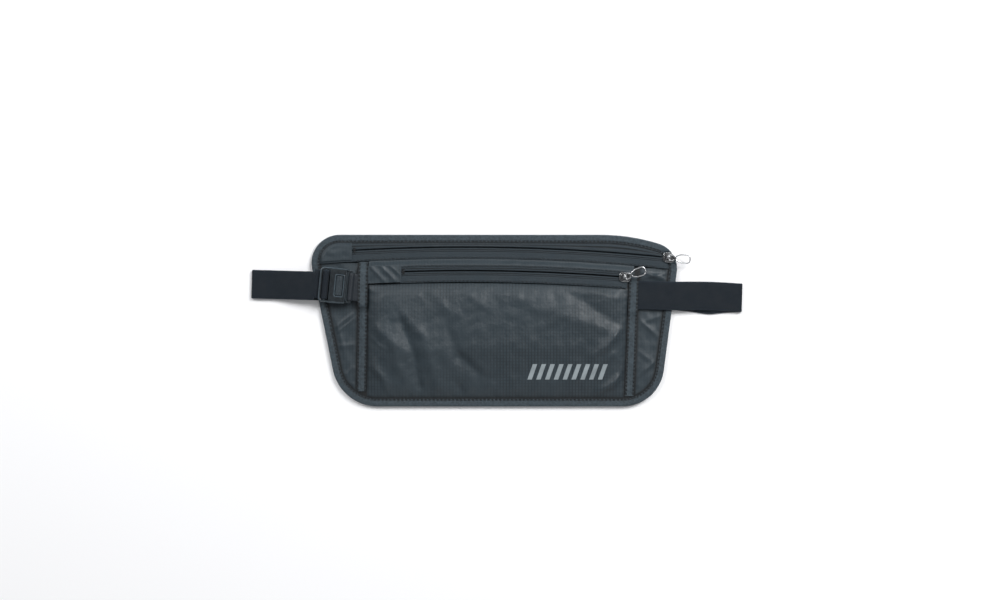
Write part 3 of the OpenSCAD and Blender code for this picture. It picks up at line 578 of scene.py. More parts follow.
def wire_ring(corners, radius, sides=10, steps=9):
    """A closed flat wire through rounded corners, each (x, y, bend radius), anticlockwise."""
    corners = np.asarray(corners, float)
    at, bend = corners[:, :2], corners[:, 2]
    back = np.roll(at, 1, axis=0) - at
    on = np.roll(at, -1, axis=0) - at
    back /= np.linalg.norm(back, axis=1)[:, None]
    on /= np.linalg.norm(on, axis=1)[:, None]
    half = np.arccos(np.einsum("ij,ij->i", back, on)) / 2
    inward = (back + on) / np.linalg.norm(back + on, axis=1)[:, None]
    middle = at + inward * (bend / np.sin(half))[:, None]
    start = at + back * (bend / np.tan(half))[:, None] - middle
    first = np.arctan2(start[:, 1], start[:, 0])
    turn = (first[:, None] + (np.pi - 2 * half)[:, None] * np.linspace(0, 1, steps)).ravel()
    side = np.stack([np.cos(turn), np.sin(turn), 0 * turn], 1)
    centre = np.repeat(np.column_stack([middle, 0 * bend]), steps, axis=0)
    centres = centre + side * np.repeat(bend, steps)[:, None]
    up = np.tile([0.0, 0.0, 1.0], (len(turn), 1))
    run = np.concatenate([[0], np.cumsum(np.linalg.norm(np.diff(centres, axis=0), axis=1))])
    return tube(centres, side, up, radius, sides, closed=True, along=np.append(run, run[-1]))


def round_loop(x0, x1, y0, y1, r, inset=0.0, steps=7):
    """Points round a rectangle with round corners, moved inward by an inset."""
    r = max(r - inset, 0.02 * MM)
    a = np.linspace(0, np.pi / 2, steps)
    spots = [(x1, y1, 0), (x0, y1, 1), (x0, y0, 2), (x1, y0, 3)]
    loop = []
    for cx, cy, quarter in spots:
        sx, sy = np.sign(cx - (x0 + x1) / 2), np.sign(cy - (y0 + y1) / 2)
        middle = np.array([cx - sx * (inset + r), cy - sy * (inset + r)])
        turn = a + quarter * np.pi / 2
        loop.append(middle + r * np.stack([np.cos(turn), np.sin(turn)], 1))
    return np.vstack(loop)


def eased(z0, z1, ease, steps=4):
    """(inset, height) pairs up a plate's edge: a quarter turn at the bottom and one at the top."""
    a = np.linspace(0, np.pi / 2, steps)
    low = np.stack([ease * (1 - np.sin(a)), z0 + ease * (1 - np.cos(a))], 1)
    high = np.stack([ease * (1 - np.cos(a)), z1 - ease * (1 - np.sin(a))], 1)
    return np.vstack([low, high])


# How much painted highlight each ring of a plate's eased edge gets, from its underside up to its top
RIM_HIGHLIGHT = np.array([0, 0, 0, 0, 0.6, 1, 1, 0]) * MM


def slab(x0, x1, y0, y1, r, z0, z1, ease):
    """A flat plate with round corners and eased edges: its outline carried up its edge's profile. The
    pattern says how much painted highlight the edge gets."""
    rings = [np.column_stack([p := round_loop(x0, x1, y0, y1, r, inset), np.full(len(p), z)])
             for inset, z in eased(z0, z1, ease)]
    return loft(np.array(rings), along=RIM_HIGHLIGHT)


def window_plate(outer, inner, z0, z1, ease, top_highlight=0.0):
    """A slab with a window: up the outer edge, over, down the window's edge and back underneath. outer
    and inner are (x0, x1, y0, y1, corner radius). The last argument says how much painted highlight its
    top gets."""
    edge = eased(z0, z1, ease)
    rings = [(round_loop(*outer, inset), z) for inset, z in edge]
    rings += [(round_loop(*inner, -inset), z) for inset, z in edge[::-1]]
    rim_highlight = np.concatenate([RIM_HIGHLIGHT, RIM_HIGHLIGHT[::-1]])
    rim_highlight[7:9] = top_highlight * MM
    rings = np.array([np.column_stack([p, np.full(len(p), z)]) for p, z in rings])
    return loft(rings, closed=True, along=rim_highlight)


def rod(x, z, y0, y1, r, sides=16):
    """A round bar across the strap, its ends closed."""
    y = np.linspace(y0, y1, 5)
    centres = stack(x, y, z)
    side = np.tile([1.0, 0, 0], (5, 1))
    up = np.tile([0, 0, 1.0], (5, 1))
    return tube(centres, side, up, r, sides)


# ------------------------------------------------------------------------------ soft folds
def ridge(x, y, start, end, width, height):
    """A soft fold from one point to another, in millimetres: a crest that falls off to both sides as one
    over cosh squared, and fades towards its ends as a sine."""
    start, end = np.array(start) * MM, np.array(end) * MM
    run = end - start
    size = math.hypot(*run)
    way = run / size
    t = ((x - start[0]) * way[0] + (y - start[1]) * way[1]) / size
    s = (x - start[0]) * -way[1] + (y - start[1]) * way[0]
    fade = np.sin(np.pi * np.clip(mix(0.12, 0.88, t), 0, 1)) ** 1.3
    return height * fade / np.cosh(s / (width * MM)) ** 2


def ripple(x, y, size, seed, waves=14):
    """Fine crinkle: the mean of sine waves in seeded directions, near one wavelength, each bent by a
    slower one."""
    rng = np.random.default_rng(seed)
    total = np.zeros(np.broadcast(x, y).shape)
    for _ in range(waves):
        turn, phase, bend = rng.uniform(0, TURN, 3)
        wave = size * rng.uniform(0.6, 1.7)
        u = x * math.cos(turn) + y * math.sin(turn)
        v = y * math.cos(turn) - x * math.sin(turn)
        total += np.sin(TURN * u / wave + phase + 1.6 * np.sin(TURN * v / (2.3 * wave) + bend))
    return total / math.sqrt(waves)


# Folds of the front face, the side panels and the pocket's end tab. Each one's start, end and half width
# are in millimetres, and its height is a share of its cloth's fold height: below 0 it is a hollow.
FACE_FOLDS = [
    ((72, -30), (103, 1), 3.2, 1.3), ((70, -64), (103, -34), 3.2, 1.3),
    ((58, -46), (94, -22), 3.6, 0.8), ((56, 30), (104, 14), 4.0, 0.6),
    ((52, 24), (100, -8), 5.0, -1.0), ((22, 12), (94, -10), 5.5, 0.7),
    ((-80, 14), (-48, -20), 4.0, 0.6), ((-76, 8), (-63, -28), 3.6, -1.0),
    ((-66, -16), (-56, -66), 3.8, -1.1), ((-99, 0), (-70, -24), 4.2, 0.8),
    ((-84, -6), (-69, -52), 4.6, 0.7), ((-60, 0), (-42, -64), 5.0, 0.8),
    ((-40, 2), (-25, -40), 4.6, -1.0), ((-32, -24), (2, -52), 4.4, -1.0),
    ((-38, -38), (-20, -66), 3.4, -0.6), ((-100, -10), (-86, -22), 1.6, 0.35),
    ((-101, -31), (-82, -48), 2.8, 0.6), ((-26, 24), (-4, 6), 3.4, 0.5),
    ((0, 20), (40, 14), 4.6, 0.4), ((-18, -30), (8, -64), 4.4, 0.7),
    ((10, -42), (20, -64), 3.0, 0.35), ((-94, -30), (-80, -62), 2.6, 0.4),
    ((-52, 24), (-34, 4), 3.8, 0.35), ((88, -52), (102, -28), 2.2, 0.5),
]
LEFT_FOLDS = [
    ((-127, -8), (-104, 10), 1.2, 0.45), ((-126, -12), (-103, 6), 1.0, 0.4),
    ((-124, -20), (-104, -18), 1.8, 0.4), ((-118, -44), (-104, -30), 2.0, 0.5),
    ((-116, -54), (-106, -46), 1.6, 0.4), ((-124, 2), (-116, -26), 2.2, 0.4),
]
RIGHT_FOLDS = [
    ((107, 2), (127, -15), 1.7, 0.6), ((110, -2), (131, 6), 1.8, 0.5),
    ((108, -42), (127, -27), 1.8, 0.6), ((106, -22), (122, -34), 2.0, 0.4),
    ((108, 38), (132, 31), 1.5, 0.7), ((112, 33), (131, 36), 1.2, 0.5),
]
TAB_FOLDS = [
    ((-101, 46), (-83, 27), 1.7, 0.6), ((-93, 46), (-76, 29), 1.6, 0.55),
    ((-84, 44), (-73, 34), 1.3, 0.4),
]


def folds(x, y, table, height):
    """The sum of a table's folds."""
    return sum(ridge(x, y, start, end, width, height * share) for start, end, width, share in table)


def pucker(run, distance, pitch):
    """Cloth gathered by stitches: small waves along a seam that die out away from it."""
    return np.sin(TURN * run / pitch) * np.exp(-distance / (2.6 * MM))


# --------------------------------------------------------------------------------- panels
def face_grid(form, rows, columns):
    """The plan of the pouch's middle: columns lean with the side seams, rows run from under the binding
    up to the arc under the front zip."""
    u = np.linspace(0, 1, columns)[None, :]
    v = np.linspace(0, 1, rows)[:, None]
    inset = 0.1 * MM

    def across(y):
        return mix(form.seam(y, -1) + inset, form.seam(y, 1) - inset, u)
    low = form.bottom(across(10 * MM - form.top), form.panel_in)
    high = form.arc(across(form.top - 20 * MM), form.face_top_r)
    y = mix(low, high, v)
    return across(y), y


def face_height(form, x, y):
    """Height of the front face's underside: the wall, the room of the front pocket where the face is
    clear of its seams, the folds, and a pucker along each seam."""
    sheet = form.cloth
    edges = [x - form.seam(y, -1) - form.seam_in, form.seam(y, 1) - form.seam_in - x,
             form.arc(x, form.face_top_r - 3 * MM) - y, y - form.bottom(x, form.hem_in)]
    ramps = np.array([20, 20, 30, 24]) * MM
    rise = np.prod([1 - np.exp(-3 * np.maximum(e, 0) / r) for e, r in zip(edges, ramps)], 0)
    free = smooth(np.min([np.maximum(e, 0) for e in edges], 0) / (9 * MM))
    soft = folds(x, y, FACE_FOLDS, sheet.fold_height) + 0.22 * MM * ripple(x, y, 15 * MM, 4)
    soft = soft + 0.05 * MM * ripple(x, y, 5 * MM, 9)
    gather = pucker(y, np.maximum(edges[0], 0), 7.3 * MM)
    gather = gather + pucker(y + 2 * MM, np.maximum(edges[1], 0), 6.1 * MM)
    gather = gather + pucker(x, np.maximum(edges[3], 0), 8.2 * MM)
    base = form.wall(x, y) + sheet.cloth_t + sheet.layer_gap
    start = smooth(np.min([np.maximum(e, 0) for e in edges], 0) / (1.6 * MM))
    height = base + sheet.front_gap * rise + free * soft + start * 0.22 * MM * (1 + gather)
    # The second value is painted shade: 1 in the groove at the seams and edges, fading over 0.7 mm.
    return height, np.exp(-np.maximum(np.min(edges, 0) + sheet.layer_gap, 0) / (0.7 * MM))


def front_face(form, finish):
    """Front of the front pocket: the height function over the middle's plan."""
    x, y = face_grid(form, 170, 260)
    z, crease_shade = face_height(form, x, y)
    return piece("front_face_cloth", cloth(stack(x, y, z), form.cloth.cloth_t), finish,
                 ["front_face"], crease_shade=crease_shade)


def inner_panel(form, finish):
    """Wall between the two pockets: the crown over the middle's plan and up to under the main zip."""
    x, y = face_grid(form, 50, 90)
    up = np.linspace(0, 1, 12)[1:, None]
    top = form.arc(x[-1], form.wall_top_r - 0.3 * MM)
    x = np.vstack([x, np.repeat(x[-1:], 11, 0)])
    y = np.vstack([y, mix(y[-1], top, up)])
    return piece("inner_wall_cloth", cloth(stack(x, y, form.wall(x, y)), form.cloth.cloth_t), finish,
                 ["inner_panel"])


def back_panel(form, finish):
    """Back of the pouch: a flat sheet out to the binding's fold, a little quilted by its own crinkle."""
    inset = form.panel_in
    v = np.linspace(-1, 1, 90)[:, None]
    y = (form.top - inset - 0.01 * MM) * np.sin(v * np.pi / 2)
    u = np.linspace(0, 1, 150)[None, :]
    x = mix(form.side(y, inset, -1), form.side(y, inset, 1), u)
    quilt = 0.01 * MM * (1 + ripple(x, y, 12 * MM, 2))
    z = form.back_z + quilt * smooth(form.depth(x, y) / (10 * MM))
    return piece("back_cloth", cloth(stack(x, y, z), form.cloth.cloth_t * 0.9), finish,
                 ["back_panel"])


def side_panel(form, finish, sign, name, node, table):
    """A side panel: from its seam out to under the binding, over the crown, with its own folds."""
    inset = form.panel_in
    start = form.bottom(form.seam(-form.top, sign), inset)
    end = form.arc(sign * 0.12, form.wall_top_r) - 0.6 * MM
    y = mix(start, end, np.linspace(0, 1, 130))[:, None]
    seam = form.seam(y, sign) + sign * 0.1 * MM
    edge = form.side(y, inset, sign)
    edge = sign * np.maximum(sign * edge, sign * seam + 0.5 * MM)
    x = mix(seam, edge, np.linspace(0, 1, 60)[None, :])
    if sign < 0:
        x = x[:, ::-1]
    off_seam = np.maximum(sign * (x - seam) - form.seam_in, 0)
    off_edge = np.maximum(form.depth(x, y) - form.hem_in, 0)
    free = smooth(np.minimum(off_seam, off_edge) / (4 * MM))
    soft = folds(x, y, table, form.cloth.fold_height) + 0.14 * MM * ripple(x, y, 11 * MM, 7 + sign)
    gather = pucker(y, off_seam, 6.4 * MM) + pucker(y, off_edge, 7.1 * MM)
    start = smooth(np.minimum(off_seam, off_edge) / (1.5 * MM))
    z = form.wall(x, y) + free * np.maximum(soft, -0.5 * MM) + start * 0.13 * MM * (1 + gather)
    # Painted shade in the groove beside the seam and the hem
    crease_shade = np.exp(-np.minimum(off_seam, off_edge) / (0.8 * MM))
    panel = cloth(stack(x, y, z), form.cloth.cloth_t)
    return piece(name, panel, finish, [node], crease_shade=crease_shade)


def zip_strip(form, finish):
    """Cloth between the zips: it eases up from under the main tape to under the front pocket's tape."""
    low_r, high_r = form.front_r + 2.6 * MM, form.wall_top_r + 2 * MM
    under = form.cloth.cloth_t + 0.1 * MM
    x = np.linspace(form.seam(45 * MM, -1) + form.seam_in, form.seam(36 * MM, 1) + 0.1 * MM, 180)[None, :]
    r = np.linspace(low_r, high_r, 24)[:, None]
    climb = smooth((form.wall_top_r - r) / (form.wall_top_r - low_r - 1.4 * MM))
    z = mix(form.zips.main_z - under, form.zips.front_z - under, climb)
    free = np.sin(np.pi * np.clip((r - low_r) / (form.wall_top_r - low_r), 0, 1))
    z = z + free * (0.10 * MM * ripple(x, r, 13 * MM, 12) - 0.1 * MM)
    return piece("zip_strip_cloth", cloth(stack(x, form.arc(x, r), z), form.cloth.cloth_t), finish,
                 ["zip_strip"])


# --------------------------------------------------------------------------------- tapes
# From the binding's inner edge out to its stitches
STITCH_IN = 1.1 * MM
# How many points of the binding's section lie on its front
FRONT_POINTS = 9


def park_share(form, x, y):
    """1 where the main slider parks, easing to 0 a few millimetres round it."""
    r = form.zips.main_r
    off = np.maximum(np.abs(x - form.main_park_x) - 4 * MM, np.abs(y - form.arc(x, r)) - 3.5 * MM)
    return 1 - smooth(off / (1.2 * MM))


def binding_rings(form, number=900):
    """The binding's section carried round the outline: over the front, round the edge, under the back and
    along the slot that holds the panels. It rises where the strap passes under it and dips where the
    main slider parks."""
    base, normal, run, total = form.outline(number)
    w, t = form.cloth.binding_w, form.cloth.binding_t
    top, low = form.binding_z - 0.02 * MM, 0.03 * MM
    slot_low, slot_high = form.back_z - form.cloth.layer_gap, form.binding_z - t
    fold = 0.9 * MM
    front = np.linspace(w, fold, FRONT_POINTS)
    bend = np.linspace(0, np.pi, 8)[1:-1]
    slot = [w, 1 * MM, 1 * MM, w]
    depth = np.concatenate([front, fold * (1 - np.sin(bend)), [fold, 3 * MM, w], slot])
    level = np.concatenate([np.ones(FRONT_POINTS), 0.5 + 0.5 * np.cos(bend), [0, 0, 0]])
    swell = np.zeros(FRONT_POINTS)
    swell[:2] = -0.22 * MM, -0.04 * MM
    groove = -0.10 * MM * np.exp(-((front - (w - STITCH_IN)) / (0.45 * MM)) ** 2)
    points = base[:, None] - normal[:, None] * depth[None, :, None]
    x, y = points[..., 0], points[..., 1]
    under = smooth((form.strap.width / 2 + 3 * MM - np.abs(form.across_strap(x, y))) / (2.5 * MM))
    under = under * (np.abs(x) > 100 * MM)
    floor_z = mix(low, form.strap.thickness + 0.03 * MM, under)
    wave = 0.05 * MM * np.sin(TURN * run / (6.3 * MM) + 2 * np.sin(TURN * run / (41 * MM)))[:, None]
    outer = len(level)
    z = np.empty(x.shape)
    z[:, :outer] = mix(floor_z[:, :outer], top + wave - 0.05 * MM, level)
    z[:, :FRONT_POINTS] += swell + groove
    z[:, outer:outer + 2] = np.maximum(slot_low - 0.02 * MM, floor_z[:, outer:outer + 2] + 0.02 * MM)
    z[:, outer + 2:] = slot_high
    dip, dip_z = park_share(form, x, y), 1.95 * MM
    z = np.where(z > dip_z - 0.05 * MM, mix(z, dip_z + 0.12 * (z - slot_high), dip), z)
    return stack(x, y, z), np.append(run, total), depth


def edge_binding(form, finish):
    """Folded tape round the pouch's edge."""
    rings, along, depth = binding_rings(form)
    around = np.concatenate([depth, depth[:1]])
    return piece("edge_binding_tape", loft(rings, closed=True, along=along, around=around), finish,
                 ["edge_binding"])


# Where the seam tapes' pattern starts, so that it stands apart from the binding's
SEAM_MARK = 20 * MM
# How far out the stitches of a seam tape lie, as a share of its half width
SEAM_STITCHES = 0.74


def seam_line(form, sign, share, number=150):
    """A line up a seam tape at a share of its half width from its middle: (x, y, height). The tape lies on
    two sewn layers on its inner side and on one on its outer side, and it rides over the strap or the
    webbing that is sewn in beneath it."""
    sheet, strap = form.cloth, form.strap
    half = sheet.seam_tape_w / 2
    low = form.bottom(form.seam(-form.top, sign) + sign * half, sheet.binding_w) + 0.4 * MM
    if sign < 0:
        middle = form.buckle_y + (form.seam_left_x - form.buckle_x) * math.tan(form.buckle.tilt)
        reach = form.webbing_w / 2 + 0.6 * MM
        lift = form.bar_z - 2.15 * MM + 2 * form.buckle.webbing_t
        high = form.arc(form.seam_left_x, form.wall_top_r) - 0.6 * MM
    else:
        middle = strap.height + form.seam_right_x * math.tan(strap.tilt)
        reach = strap.width / 2 + 0.4 * MM
        lift = form.strap_start_z + strap.thickness
        high = middle + strap.width / 2 + 3.6 * MM
    y = np.linspace(low, float(high), number)
    x = form.seam(y, sign) + share * half
    layers = 2 - smooth(2.5 * sign * share)
    z = form.wall(x, y) + layers * (sheet.cloth_t + sheet.layer_gap) + 0.1 * MM
    over = smooth((reach + 7 * MM - np.abs(y - middle)) / (6.5 * MM))
    return x, y, np.maximum(z, mix(z, lift + 0.1 * MM, over))


def seam_tape(form, finish, sign, name, node):
    """Upright tape over a side seam: a flat section with low rounded edges carried up the seam line."""
    half = form.cloth.seam_tape_w / 2
    k = np.linspace(-1, 1, 13)
    x, y, z = (np.stack(part, 1) for part in zip(*(seam_line(form, sign, share) for share in k)))
    crown = form.cloth.binding_t * (1 - 0.5 * np.abs(k) ** 12)
    dents = -0.09 * MM * np.exp(-((np.abs(k) - SEAM_STITCHES) / 0.09) ** 2)
    wave = 0.05 * MM * np.sin(TURN * y / (6.8 * MM))
    rings = np.concatenate([stack(x, y, z + crown + dents + wave), stack(x, y, z)[:, ::-1]], axis=1)
    around = SEAM_MARK + np.concatenate([k, k[::-1], k[:1]]) * half
    tape = loft(rings, strip=True, along=y[:, 0], around=around)
    return piece(name, tape, finish, [node])


def tape_drop(form, x, y):
    """How far the main zip's tapes have come up from the binding: 0 at its edge, 1 away from it and
    where the slider parks."""
    risen = smooth((form.depth(x, y) - 6.2 * MM) / (2.6 * MM))
    return np.maximum(risen, park_share(form, x, y))


def tape_sheet(form, x, r_or_y, z, parted, is_r=True):
    """A zip tape as a closed sheet, with its edges rounded off by thinning. Its pattern is measured from
    its parted edge, which is its first (0) or last (-1) row."""
    y = form.arc(x, r_or_y) if is_r else r_or_y
    t = form.zips.tape_t
    v = np.linspace(-1, 1, x.shape[0])[:, None]
    thin = 1 - 0.35 * np.abs(v) ** 10
    top = stack(x, y, z + t * thin)
    bottom = stack(x, y, z + 0 * x)
    rings = np.concatenate([top, bottom[:, ::-1]], axis=1)
    run = y[:, x.shape[1] // 2] - y[parted, x.shape[1] // 2]
    return loft(rings, strip=True, along=run, around=np.concatenate([x[0], x[0, ::-1], x[0, :1]]))


def main_tapes(form, finish):
    """Main zip: the lower tape is a band along the arc, the upper one fills up to the binding. Both ease
    down to the binding's edge."""
    zips = form.zips
    low = form.tape_low_z
    r = np.linspace(form.wall_top_r, zips.main_r - zips.part / 2, 14)[:, None]
    u = np.linspace(0, 1, 240)[None, :]
    x = mix(form.arc_end(r, form.tape_in, -1), form.arc_end(r, form.tape_in, 1), u)
    z = mix(low, zips.main_z, tape_drop(form, x, form.arc(x, r)))
    piece("main_zip_tape_lower", tape_sheet(form, x, r, z, -1), finish, ["main_tape_lower"])
    edge_r = zips.main_r + zips.part / 2
    x = mix(form.arc_end(edge_r, 7.1 * MM, -1), form.arc_end(edge_r, 7.1 * MM, 1), u)
    v = np.linspace(0, 1, 14)[:, None]
    y = mix(form.arc(x, edge_r), form.above(x, form.tape_in), v)
    z = mix(low, zips.main_z, tape_drop(form, x, y))
    piece("main_zip_tape_upper", tape_sheet(form, x + 0 * v, y, z, 0, is_r=False), finish,
          ["main_tape_upper"])


def front_tapes(form, finish):
    """Front zip: two bands along the arc at one height."""
    zips = form.zips
    half = zips.part / 2
    spans = {"lower": (form.front_r - half - zips.tape_w, form.front_r - half),
             "upper": (form.front_r + half, form.front_r + half + 4 * MM)}
    for name, (inner, outer) in spans.items():
        r = np.linspace(inner, outer, 12)[:, None]
        x = np.linspace(form.front_left_x, form.front_right_x, 180)[None, :] + 0 * r
        z = zips.front_z + 0.03 * MM * np.sin(TURN * x / (17 * MM)) * (r < form.front_r)
        parted = -1 if name == "lower" else 0
        piece(f"front_zip_tape_{name}", tape_sheet(form, x, r, z, parted), finish,
              [f"front_tape_{name}"])


def coil(form, finish, name, node, r, tape_z, start_x, end_x):
    """A row of zip coil: a fine wire wound in a flat spiral along the arc. The wire's centre goes round an
    ellipse once a pitch while it runs along."""
    zips = form.zips
    wire = 0.13 * MM
    run = end_x - start_x
    turns = int(run / zips.coil_pitch)
    theta = np.linspace(0, turns * TURN, turns * 9 + 1)
    x = start_x + run * theta / theta[-1]
    lean = np.arcsin((x - form.zip_x) / r)
    radial = np.stack([np.sin(lean), np.cos(lean), 0 * lean], 1)
    onward = np.stack([np.cos(lean), -np.sin(lean), 0 * lean], 1)
    up = np.tile([0.0, 0.0, 1.0], (len(x), 1))
    out = radial * np.cos(theta)[:, None] + up * np.sin(theta)[:, None]
    centre = np.array([form.zip_x, form.zip_y, tape_z - 0.02 * MM - zips.coil_t / 2]) + radial * r
    a, b = zips.coil_w / 2 - wire, zips.coil_t / 2 - wire
    centre = centre + radial * (a * np.cos(theta))[:, None] + up * (b * np.sin(theta))[:, None]
    wound = tube(centre, out, onward, wire, sides=5, along=x)
    return piece(name, wound, finish, [node], sharp=80)


def coils(form, finish):
    """The four rows of coil, under the parted edges of the tapes."""
    zips = form.zips
    off = zips.part / 2 + zips.coil_w / 2
    for name, r, z, start, end in (
            ("main", zips.main_r, zips.main_z, form.main_left_x, form.main_park_x - 6 * MM),
            ("front", form.front_r, zips.front_z, form.front_left_x, form.front_right_x)):
        coil(form, finish, f"{name}_zip_coil_upper", f"{name}_coil_upper", r + off, z, start, end)
        coil(form, finish, f"{name}_zip_coil_lower", f"{name}_coil_lower", r - off, z, start, end)


def end_patch(form, finish):
    """Cloth over the main zip's left end: a corner patch inside the binding."""
    zips = form.zips
    x = np.linspace(form.side(50 * MM, form.tape_in, -1), form.main_left_x, 60)[None, :]
    v = np.linspace(0, 1, 40)[:, None]
    edge = form.above(x, form.tape_in)
    y = mix(form.arc(x, zips.main_r - 7 * MM), np.maximum(edge, 47 * MM), v)
    y = np.minimum(y, np.maximum(edge, (46 + v) * MM))
    drop = tape_drop(form, x, y)
    z = mix(form.tape_low_z, zips.main_z, drop) + zips.tape_t + 0.03 * MM
    z = z + drop * 0.2 * MM * (1 + ripple(x, y, 9 * MM, 31) * np.sin(np.pi * v))
    return piece("zip_end_cloth", cloth(stack(x, y, z), form.cloth.cloth_t), finish,
                 ["zip_end_patch"])


def end_tab(form, finish):
    """Folded tab of cloth over the front zip's left end."""
    zips = form.zips
    start = form.seam_left_x + form.cloth.seam_tape_w / 2 + 0.8 * MM
    r = np.linspace(form.front_r - zips.tape_w, form.front_r + 5 * MM, 40)[:, None]
    x = np.linspace(start, form.front_left_x + 1 * MM, 70)[None, :] + 0 * r
    y = form.arc(x, r)
    edge = smooth((x.max() - x) / (2 * MM)) * smooth((x - x.min()) / (2 * MM))
    soft = folds(x, y, TAB_FOLDS, 1.6 * MM) + 0.1 * MM * (1 + ripple(x, y, 9 * MM, 21))
    z = zips.front_z + zips.tape_t + 0.03 * MM + edge * soft
    return piece("pocket_end_cloth", cloth(stack(x, y, z), form.cloth.cloth_t), finish,
                 ["pocket_end_tab"])


# -------------------------------------------------------------------------------- stitches
def stitch(size, thick):
    """One stitch: a short thread that bows up out of the cloth, thinning to both ends."""
    t = np.linspace(-1, 1, 6)
    a = np.linspace(0, TURN, 6, endpoint=False)
    girth = thick / 2 * np.sqrt(np.clip(1.04 - t**4, 0, 1))
    rings = stack(size / 2 * t[:, None] + 0 * a, girth[:, None] * np.cos(a),
                  girth[:, None] * np.sin(a) + (0.4 * thick * (1 - t**2))[:, None])
    return loft(rings, along=t * size / 2, around=np.linspace(0, TURN * thick / 2, 7))


def stitch_row(points, pitch, size_share=0.72, thick=0.46 * MM):
    """A row of stitches at an even pitch along a line of points."""
    run = np.concatenate([[0], np.cumsum(np.linalg.norm(np.diff(points, axis=0), axis=1))])
    number = max(int(run[-1] / pitch), 2)
    s = (np.arange(number) + 0.5) * run[-1] / number
    at = np.stack([np.interp(s, run, points[:, k]) for k in range(3)], 1)
    on = np.stack([np.interp(s + 0.4 * pitch, run, points[:, k]) for k in range(3)], 1)
    back = np.stack([np.interp(s - 0.4 * pitch, run, points[:, k]) for k in range(3)], 1)
    forward = (on - back) / np.linalg.norm(on - back, axis=1)[:, None]
    up = np.array([0.0, 0, 1]) - forward * forward[:, 2:]
    up /= np.linalg.norm(up, axis=1)[:, None]
    return repeated(stitch(pitch * size_share, thick), at, forward, up)


def stitching(form, finish):
    """Rows of stitches: round the binding, down both edges of each seam tape and along the zip tapes."""
    pitch, zips = form.cloth.stitch_pitch, form.zips
    rings, _, depth = binding_rings(form)
    line = rings[:, int(np.argmin(np.abs(depth[:FRONT_POINTS] - form.cloth.binding_w + STITCH_IN)))]
    park = form.main_park_x, form.arc(form.main_park_x, zips.main_r)
    line = line[np.hypot(line[:, 0] - park[0], line[:, 1] - park[1]) > 6.5 * MM]
    start = int(np.argmax(np.linalg.norm(np.diff(line, axis=0), axis=1))) + 1
    line = np.roll(line, -start, axis=0)
    piece("binding_stitches", stitch_row(line + [0, 0, 0.02 * MM], pitch), finish)
    rows = []
    for sign in (-1, 1):
        for share in (-SEAM_STITCHES, SEAM_STITCHES):
            x, y, z = seam_line(form, sign, share)
            rows.append(stitch_row(stack(x, y, z + form.cloth.binding_t - 0.06 * MM)[2:-2], pitch))
    piece("seam_stitches", rows, finish)
    front_x = np.linspace(form.front_left_x + 2 * MM, form.front_right_x - 3 * MM, 200)
    main_x = np.linspace(form.main_left_x + 3 * MM, form.main_park_x - 9 * MM, 260)
    top_x = np.linspace(form.front_left_x + 2 * MM, form.front_right_x - 2 * MM, 200)
    main_r = form.wall_top_r + 0.9 * MM
    main_z = mix(form.tape_low_z, zips.main_z, tape_drop(form, main_x, form.arc(main_x, main_r)))
    rows = [stitch_row(stack(x, form.arc(x, r), z + zips.tape_t), pitch) for x, r, z in (
        (front_x, form.front_r - zips.part / 2 - zips.tape_w + 0.9 * MM, zips.front_z),
        (main_x, main_r, main_z),
        (top_x, form.front_r + 4.2 * MM, zips.front_z))]
    piece("zip_stitches", rows, finish)


def bar_tacks(form, finish):
    """Sewn stops across the left end of each zip: close rows of thread side by side."""
    zips = form.zips
    rows = []
    for r0, tape_z, x0 in ((zips.main_r, zips.main_z, form.main_left_x + 1.3 * MM),
                           (form.front_r, zips.front_z, form.front_left_x + 1.8 * MM)):
        r = np.linspace(r0 - 1.9 * MM, r0 + 1.9 * MM, 9)
        x = np.full(9, x0 + 0.7 * MM)
        at = stack(x, form.arc(x, r), tape_z + zips.tape_t + 0.17 * MM)
        forward = np.tile([1.0, 0, 0], (9, 1))
        up = np.tile([0.0, 0, 1], (9, 1))
        rows.append(repeated(stitch(1.9 * MM, 0.4 * MM), at, forward, up))
    return piece("zip_bar_tacks", rows, finish, ["zip_stops"])


# -------------------------------------------------------------------- sliders and pullers
def slider_shells(form, turn):
    """A slider body at the origin, x along the zip and z up from the tape's underside: two plates, the
    post that parts the coils, and an arched bridge for the link."""
    zips = form.zips
    over = zips.tape_t + zips.slider_gap
    under = -zips.coil_t - zips.slider_gap - zips.plate_t
    half_l, half_w = zips.slider_l / 2, zips.slider_w / 2
    low_l, low_w = half_l - 1.3 * MM, half_w - 0.7 * MM
    post_r = (zips.part - 0.3 * MM) / 2
    top = over + zips.plate_t
    a = np.linspace(0, np.pi, 19)
    path = np.stack([-1.75 * MM * np.cos(a), top - 0.05 * MM + 2.07 * MM * np.sin(a)], 1)
    arch = strap_band(path, 2.2 * MM, 0.5 * MM, step=0.25 * MM)
    post = slab(low_l - 1.4 * MM - post_r, low_l - 1.4 * MM + post_r, -post_r, post_r, post_r,
                under + 0.3 * MM, over + 0.3 * MM, 0.05 * MM)
    return [
        slab(-half_l, half_l, -half_w, half_w, 2.6 * MM, over, top, 0.33 * MM),
        slab(-half_l + 1.1 * MM, half_l - 1.1 * MM, -half_w + 1.1 * MM, half_w - 1.1 * MM, 1.8 * MM,
             top - 0.2 * MM, top + 0.22 * MM, 0.2 * MM),
        slab(-low_l, low_l, -low_w, low_w, 1.6 * MM, under, under + zips.plate_t, 0.25 * MM),
        post,
        place(arch, lambda p: turned(p, turn)),
    ]


def link_shell(form):
    """The link's wire: a rectangle with round corners, its near bar on the slider's pin line."""
    zips = form.zips
    bend, half = 1.0 * MM, zips.link_w / 2
    corners = [(0, -half, bend), (zips.link_l, -half, bend), (zips.link_l, half, bend), (0, half, bend)]
    return wire_ring(corners, zips.wire_d / 2)


